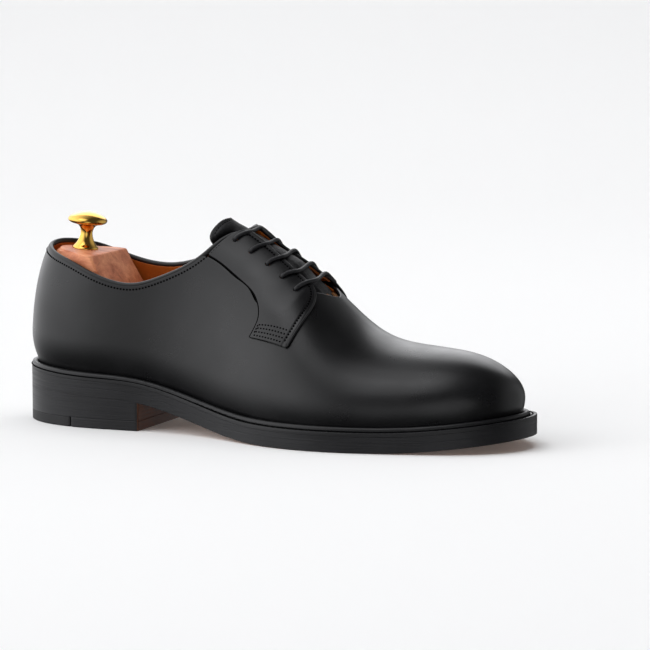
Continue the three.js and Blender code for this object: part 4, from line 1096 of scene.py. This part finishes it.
def slab(loop, normals, low, high, rounded, inset=3.0):
    """A layer with rounded edges, as rings from its underside round its edge to its top."""
    turn = np.linspace(0, np.pi / 2, 4)
    arc = zip(rounded * (1 - np.sin(turn)), rounded * (1 - np.cos(turn)))
    half = [(inset, 0.0), *arc, (0.0, rounded + 0.3)]
    rings = []
    for into, rise, top in [(*spot, False) for spot in half] + [(*spot, True) for spot in half[::-1]]:
        xy = loop - normals * into
        x = xy[:, 0]
        rings.append(np.column_stack([xy, high(x) - rise if top else low(x) + rise]))
    return np.array(rings)


def level(k):
    """The height of the top of heel lift k; lift 0 is the top piece."""
    return lambda x: TOP_PIECE + (sole_line(x) - TOP_PIECE) * k / LIFTS


def face_middles(points, faces):
    return np.array([points[list(f)].mean(0) for f in faces])


def heel_layer(name, from_x, to_x, low, high, rounded, material):
    """A layer of the heel, whose front face is brown where it is leather."""
    hair = 0.01
    loop, normals = heel_loop(from_x, to_x)
    shape = loft(slab(loop, normals, low, lambda x: high(x) - hair, rounded))
    breast = {} if material is RUBBER else {
        "other": BREAST, "which": face_middles(*shape)[:, 0] > HEEL_LENGTH - 0.6}
    piece(name, shape, material, sharp=40, **breast)


def make_heel():
    ground = lambda x: 0 * x
    heel_layer("top_piece_rubber", 0, RUBBER_LENGTH, ground, level(0), 0.5, RUBBER)
    heel_layer("top_piece_leather", RUBBER_LENGTH + 0.12, HEEL_LENGTH, ground, level(0), 0.4, EDGE)
    for k in range(LIFTS):
        heel_layer("heel_lift_" + str(k + 1), 0, HEEL_LENGTH, level(k), level(k + 1), 0.02, EDGE)
    profile = [(0, 0.02), (0.7, 0.05), (0.95, 0.2), (1.0, 0.5), (1.0, 12.0), (0.3, 12.4), (0, 12.5)]
    points, faces = lathe(profile, 18)
    for k, (x, y) in enumerate(NAILS):
        piece("heel_nail_" + str(k + 1), (points + [x, y, 0], faces), NAIL_BRASS, sharp=40)


def lathe(profile, sides):
    """A turned solid about the z axis from a profile of (radius, height) that starts and ends on the axis."""
    profile = np.asarray(profile, float)
    points = [[0, 0, profile[0, 1]]]
    for r, h in profile[1:-1]:
        points += [[r * c, r * s, h] for c, s in circle(1.0, sides)]
    points += [[0, 0, profile[-1, 1]]]
    count = len(profile) - 2
    faces = [tuple(f) for f in grid_faces(count, sides, False, True, first=1)]
    last = len(points) - 1
    for j in range(sides):
        k = (j + 1) % sides
        faces.append((0, 1 + k, 1 + j))
        faces.append((last, last - sides + j, last - sides + k))
    return np.array(points), faces


def core(shape, low, high, steps, across):
    """A thin layer across the sole: a grid over x and from side to side, closed at its edges."""
    x = shape["rear"] + (shape["front"] - shape["rear"]) * (1 - np.cos(np.linspace(0, np.pi, steps))) / 2
    x = np.clip(x, shape["rear"] + 0.01, shape["front"] - 0.01)
    w = np.linspace(0, 1, across)
    y = shape["outer"](x)[:, None] * (1 - w) + shape["inner"](x)[:, None] * w
    wide = np.broadcast_to(x[:, None], y.shape)
    return shell(np.stack([wide, y, high(wide)], -1), np.stack([wide, y, low(wide)], -1))


def above_sole(height):
    return lambda x: sole_line(x) + height


def sole_layer(low, high, rounded):
    """A band round the edge and a core inside it, as one layer between two heights above the sole line."""
    loop, normals = sole_loop()
    rings = slab(loop, normals, above_sole(low), above_sole(high), rounded, 4.0)
    count, size = rings.shape[:2]
    faces = [tuple(f) for f in grid_faces(count, size, False, True)]
    first, last = np.arange(size), (count - 1) * size + np.arange(size)
    after = np.roll(np.arange(size), -1)
    faces += list(zip(last, last[after], first[after], first))
    inside, near = plan(lambda x: sole_margin(x) - 3.9), 0.02
    middle = core(inside, above_sole(low + near), above_sole(high - near), 90, 13)
    return (rings.reshape(-1, 3), faces), middle


def make_sole():
    band, middle = sole_layer(0, OUTSOLE, 0.1)
    points, faces = join([band, middle])
    middles = face_middles(points, faces)
    dyed = (np.arange(len(faces)) < len(band[1])) & (middles[:, 2] - sole_line(middles[:, 0]) > 0.03)
    piece("outsole", (points, faces), SOLE_TAN, sharp=50, other=EDGE, which=dyed)
    piece("midsole", join(sole_layer(OUTSOLE, MIDSOLE_TOP, 0.02)), EDGE, sharp=50)
    make_welt()
    make_welt_stitches_and_groove_shade()
    inside = plan(lambda x: -feather_inset(x) - LINING_OVER_STIFFENER - LINING - 0.6)
    base = SOLE_TOP + 0.6 + INSOLE
    sock = core(inside, above_sole(base), above_sole(base + SOCK), 120, 21)
    piece("sock_lining", sock, LINING_TAN, sharp=40)


def welt_marks(x):
    """How far out from the outline the welt's edge, the root of its bead and the bead's outer side are."""
    margin = sole_margin(x)
    return margin, -feather_inset(x) + 0.5, np.minimum(1, margin - 0.2)


def over_sole(points, normals, out, height):
    """Points moved out in plan, at a height above the sole line."""
    xy = points + normals * np.asarray(out)[:, None]
    return np.column_stack([xy, sole_line(xy[:, 0]) + height])


def make_welt():
    points, normals = sole_loop(lambda x: 0 * x)
    margin, root, outer = welt_marks(points[:, 0])
    low, top, r = MIDSOLE_TOP, SOLE_TOP, 0.35
    inside = np.full(len(points), -9.2)
    spots = [(inside, low), (margin - 0.02, low), (margin, low + 0.02), (margin, low + 0.3)]
    for a in (0, *np.linspace(0.4, np.pi / 2, 4)):
        spots.append((margin - r * (1 - np.cos(a)), top - r * (1 - np.sin(a))))
    flange = np.maximum(margin - r - outer, 0.02)
    spots += [(outer + flange * 0.55, top - 0.02), (outer + flange * 0.3, top - 0.16)]
    spots += [(outer + 0.01, top - 0.3)]
    centre, half = (root + outer) / 2, (outer - root) / 2
    for a in np.linspace(0.12, np.pi - 0.35, 13):
        out = centre + half * np.cos(a) * (1 + 0.08 * np.sin(a))
        spots.append((out, top - 0.1 + (BEAD + 0.35) * np.sin(a) ** 0.8))
    spots += [(root, top), (inside, top)]
    rings = np.array([over_sole(points, normals, out, height) for out, height in spots]).transpose(1, 0, 2)
    piece("welt", (rings.reshape(-1, 3), grid_faces(*rings.shape[:2], True, True)), WELT_BLACK, sharp=60)


def make_welt_stitches_and_groove_shade():
    """The stitches on the welt where it is wide enough, and a near-black cord at the foot of its bead that
    paints the shade of the groove there.
    """
    points, normals = sole_loop(lambda x: 0 * x)
    margin, _, outer = welt_marks(points[:, 0])
    wide = margin - outer > 1.5
    order = np.roll(np.arange(len(points)), -np.flatnonzero(wide & ~np.roll(wide, 1))[0])
    order = order[wide[order]]
    out = outer * 0.55 + margin * 0.45
    path = over_sole(points[order], normals[order], out[order], SOLE_TOP + 0.02)
    up = np.tile([0, 0, 1.0], (len(path), 1))
    piece("welt_stitches", stitches([(path, up)], WELT_PITCH, WELT_STITCH, 0.5, 0.1), THREAD_AND_SHADE, "lace")
    # A near-black cord round the whole welt at the foot of the bead: painted shade in the groove.
    path = over_sole(points, normals, outer + 0.12, SOLE_TOP - 0.1)
    level_out = np.column_stack([normals, np.zeros(len(path))])
    across, height = circle(0.42, 8).T[:, None, :, None]
    rings = path[:, None] + across * level_out[:, None] + height * np.array([0, 0, 1.0])
    shape = rings.reshape(-1, 3), grid_faces(*rings.shape[:2], True, True)
    piece("welt_groove", shape, THREAD_AND_SHADE, "lace", sharp=60)


# ------------------------------------------------------------------ shoe tree
def block_top(x):
    """The height of the heel block's top, which leans forward."""
    return BLOCK_TOP[1] - BLOCK_LEAN * (x - BLOCK_TOP[0])


def block_ring(z, clearance, front):
    """A level of the heel block: round the heel from one end of its flat front to the other."""
    start = max(front, HEEL_CENTRE)
    places = np.linspace(place_at(start, 1) - TURN, place_at(start, -1), 160)
    x = outline(places)[:, 0]
    at = np.clip(z, feather_height(x) + 8, block_top(x))
    v = height_v(places, lambda p: at)
    points = skin(places, v, clearance[0] + (clearance[1] - clearance[0]) * smooth((x - 20) / 22))
    points[:, 0] = np.minimum(points[:, 0], front)
    points[:, 2] = np.clip(z, sock_top(points[:, 0]) + 0.8, block_top(points[:, 0]))
    run = run_along(points[:, :2])
    return spots_at(np.linspace(0, run[-1], 90), run, points)


def make_block():
    at, *marks = np.array(BLOCK_LEVELS).T
    heights = [0, *np.linspace(28, 92, 26), 93, 93.8, 94.3, 95.2, 96]
    above_all = 200
    rings = []
    for z in [*heights, above_all]:
        rear, ahead, front = (np.interp(z, at, mark) for mark in marks)
        rings.append(block_ring(z, (rear, ahead), front))
    rim = rings.pop()
    centre = rim.mean(0)
    for into, under in ((0.0, 0.9), (0.25, 0.4), (0.7, 0.08), (1.2, 0)):
        ring = rim + unit(centre - rim) * into
        ring[:, 2] = block_top(ring[:, 0]) - under
        rings.append(ring)
    piece("tree_heel_block", loft([soften_ends(r) for r in rings]), CEDAR, body="tree_heel", sharp=35)


def soften_ends(ring):
    """Cuts the two sharp corners of a ring where its straight front starts."""
    first, last = ring[0], ring[-1]
    cut = 0.9
    a = first + unit(ring[1] - first) * cut
    b = first + unit(last - first) * cut
    c = last + unit(first - last) * cut
    d = last + unit(ring[-2] - last) * cut
    return np.vstack([b, a, ring[1:-1], d, c])


def make_knob():
    profile = np.vstack([[0, 0], curve_through(KNOB)(np.linspace(0, 1, 70)), [0, KNOB_HEIGHT]])
    points, faces = lathe(profile, 64)
    x, y, z = points.T
    lean = np.arctan(BLOCK_LEAN)
    turned = np.stack([x * np.cos(lean) + z * np.sin(lean), y, z * np.cos(lean) - x * np.sin(lean)], -1)
    base = [*KNOB_AT, block_top(KNOB_AT[0]) + 0.05]
    piece("tree_knob", (turned + base, faces), BRASS, body="tree_heel", sharp=60)


def along_x(profile, sides):
    """A turned solid about the tube's line, from a profile of (radius, x)."""
    points, faces = lathe(profile, sides)
    return np.stack([points[:, 2], points[:, 0], points[:, 1] + TUBE_HEIGHT], -1), faces


def make_tube():
    piece("tree_outer_tube", along_x(TUBE, 48), STEEL, sharp=35)
    piece("tree_plunger_rod", along_x(ROD, 40), STEEL, body="tree_heel", sharp=35)


def make_main_spring():
    """The coil ahead of the plunger rod, made at one length; in the real tree it shortens as the heel block
    comes forward.
    """
    angle = np.linspace(0, 2 * np.pi * SPRING_TURNS, SPRING_TURNS * 14 + 1)
    x = np.linspace(SPRING_FROM, SPRING_TO, len(angle))
    out = np.stack([0 * x, np.sin(angle), np.cos(angle)], -1)
    path = out * SPRING_RADIUS + np.stack([x, 0 * x, 0 * x + TUBE_HEIGHT], -1)
    shape = swept(path, out, circle(SPRING_WIRE, 8))
    made = piece("tree_main_spring", shape, WIRE, "tree_steel", body=None, sharp=60)
    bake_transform(made)


# ------------------------------------------------------------------ stage
def dress_cad_nodes():
    """Materials for the hidden CAD pieces that are kept as they are."""
    looks = {
        "toe_puff": BOARD, "heel_counter": BOARD, "cork_filler": CORK, "shank": SHANK_STEEL,
        "insole": INSOLE_TAN, "vamp_lining": DRILL, "tree_toe_lateral": CEDAR, "tree_toe_medial": CEDAR,
        "tree_toe_spring_1": WIRE, "tree_toe_spring_2": WIRE, "tree_cross_pin": STEEL,
        "tree_knob_stud": STEEL,
    }
    for name, material in looks.items():
        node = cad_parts[name]
        node.data.materials.clear()
        node.data.materials.append(material)


def light(name, at, aim, size, power):
    data = bpy.data.lights.new(name, "AREA")
    data.shape, data.size, data.size_y = "RECTANGLE", *size
    data.energy = power
    made = placed(name, data)
    made.location = at
    made.rotation_euler = (Vector(aim) - Vector(at)).to_track_quat("-Z", "Y").to_euler()
    made.visible_glossy = False


def make_stage():
    """A pale floor that curves up into a backdrop, turned to face the camera of the photo's view."""
    look = Look("floor", 0.9)
    look.shader.inputs["Base Color"].default_value = (0.86, 0.86, 0.86, 1)
    look.shader.inputs["Specular IOR Level"].default_value = 0
    look.shader.inputs["Emission Color"].default_value = (1, 1, 1, 1)
    ways = look.node("ShaderNodeSeparateXYZ", {"Vector": look.place})
    glow = look.ranged(ways.outputs["Y"], *FLOOR_GLOW, 0.2, 1.6)
    look.tree.links.new(glow, look.shader.inputs["Emission Strength"])
    profile = [(-6, 0), (1.2, 0)]
    profile += [(1.2 + 1.5 * np.sin(a), 1.5 * (1 - np.cos(a))) for a in np.linspace(0.05, np.pi / 2, 24)]
    profile += [(2.7, 6)]
    points = [(x, y, z) for y, z in profile for x in (-6, 6)]
    mesh = bpy.data.meshes.new("floor")
    mesh.from_pydata(points, [], [tuple(int(i) for i in f) for f in grid_faces(len(profile), 2)])
    mesh.materials.append(look.material)
    mesh.polygons.foreach_set("use_smooth", np.ones(len(mesh.polygons), bool))
    floor = placed("floor", mesh)
    floor.rotation_euler = (0, 0, np.radians(VIEW_AZIMUTH))
    floor.visible_glossy = False


def make_camera():
    data = bpy.data.cameras.new("camera")
    data.lens, data.sensor_width = LENS, 36
    camera = placed("camera", data)
    a, e = np.radians(VIEW_AZIMUTH), np.radians(VIEW_ELEVATION)
    back = Vector((np.sin(a) * np.cos(e), -np.cos(a) * np.cos(e), np.sin(e)))
    camera.location = Vector(to_frame(CAMERA_AIM)) + back * DISTANCE
    camera.rotation_euler = (-back).to_track_quat("-Z", "Y").to_euler()
    bpy.context.scene.camera = camera


def make_studio():
    """A studio of a few soft boxes in the dark, so that polished leather gets light and dark bands."""
    world = bpy.data.worlds.new("studio")
    world.use_nodes = True
    nodes, links = world.node_tree.nodes, world.node_tree.links
    ways = nodes.new("ShaderNodeTexCoord").outputs["Generated"]

    def step(value, low, high, to):
        made = nodes.new("ShaderNodeMapRange")
        made.interpolation_type = "SMOOTHSTEP"
        for socket, number in (("From Min", low), ("From Max", high), ("To Min", 0), ("To Max", to)):
            made.inputs[socket].default_value = number
        links.new(value, made.inputs["Value"])
        return made.outputs["Result"]

    def combine(operation, a, b):
        made = nodes.new("ShaderNodeMath")
        made.operation = operation
        links.new(a, made.inputs[0])
        if isinstance(b, float):
            made.inputs[1].default_value = b
        else:
            links.new(b, made.inputs[1])
        return made.outputs[0]

    split = nodes.new("ShaderNodeSeparateXYZ")
    links.new(ways, split.inputs[0])
    ground = step(split.outputs["Z"], -0.5, 0.1, 1)
    total = None
    for i, (bearing, elevation, radiance, end, full) in enumerate(SOFT_BOXES):
        a, e = np.radians(bearing), np.radians(elevation)
        dot = nodes.new("ShaderNodeVectorMath")
        dot.operation = "DOT_PRODUCT"
        links.new(ways, dot.inputs[0])
        dot.inputs[1].default_value = (np.sin(a) * np.cos(e), -np.cos(a) * np.cos(e), np.sin(e))
        box = step(dot.outputs["Value"], end, full, radiance)
        if i == 0:
            box = combine("MULTIPLY", box, ground)
        total = combine("ADD", box, STUDIO_FILL) if total is None else combine("ADD", total, box)
    links.new(total, nodes["Background"].inputs["Strength"])
    nodes["Background"].inputs["Color"].default_value = STUDIO_TINT
    bpy.context.scene.world = world


def make_lights():
    make_studio()
    aim = (0.02, 0, 0.05)
    light("overhead", (0.0, 0.2, 1.9), aim, (2.0, 1.6), 17)
    light("front_left", (-1.3, -1.2, 0.9), aim, (0.9, 1.2), 7)
    bpy.context.scene.view_settings.view_transform = "Standard"


def main():
    make_upper()
    make_lining()
    for side, name in ((-1, "lateral"), (1, "medial")):
        make_facing(side, "facing_" + name)
        make_seam_backing(side, "seam_backing_" + name)
    make_bead()
    make_upper_stitches()
    make_tongue()
    make_laces()
    make_heel()
    make_sole()
    make_block()
    make_knob()
    make_tube()
    make_main_spring()
    dress_cad_nodes()
    make_stage()
    make_camera()
    make_lights()


main()
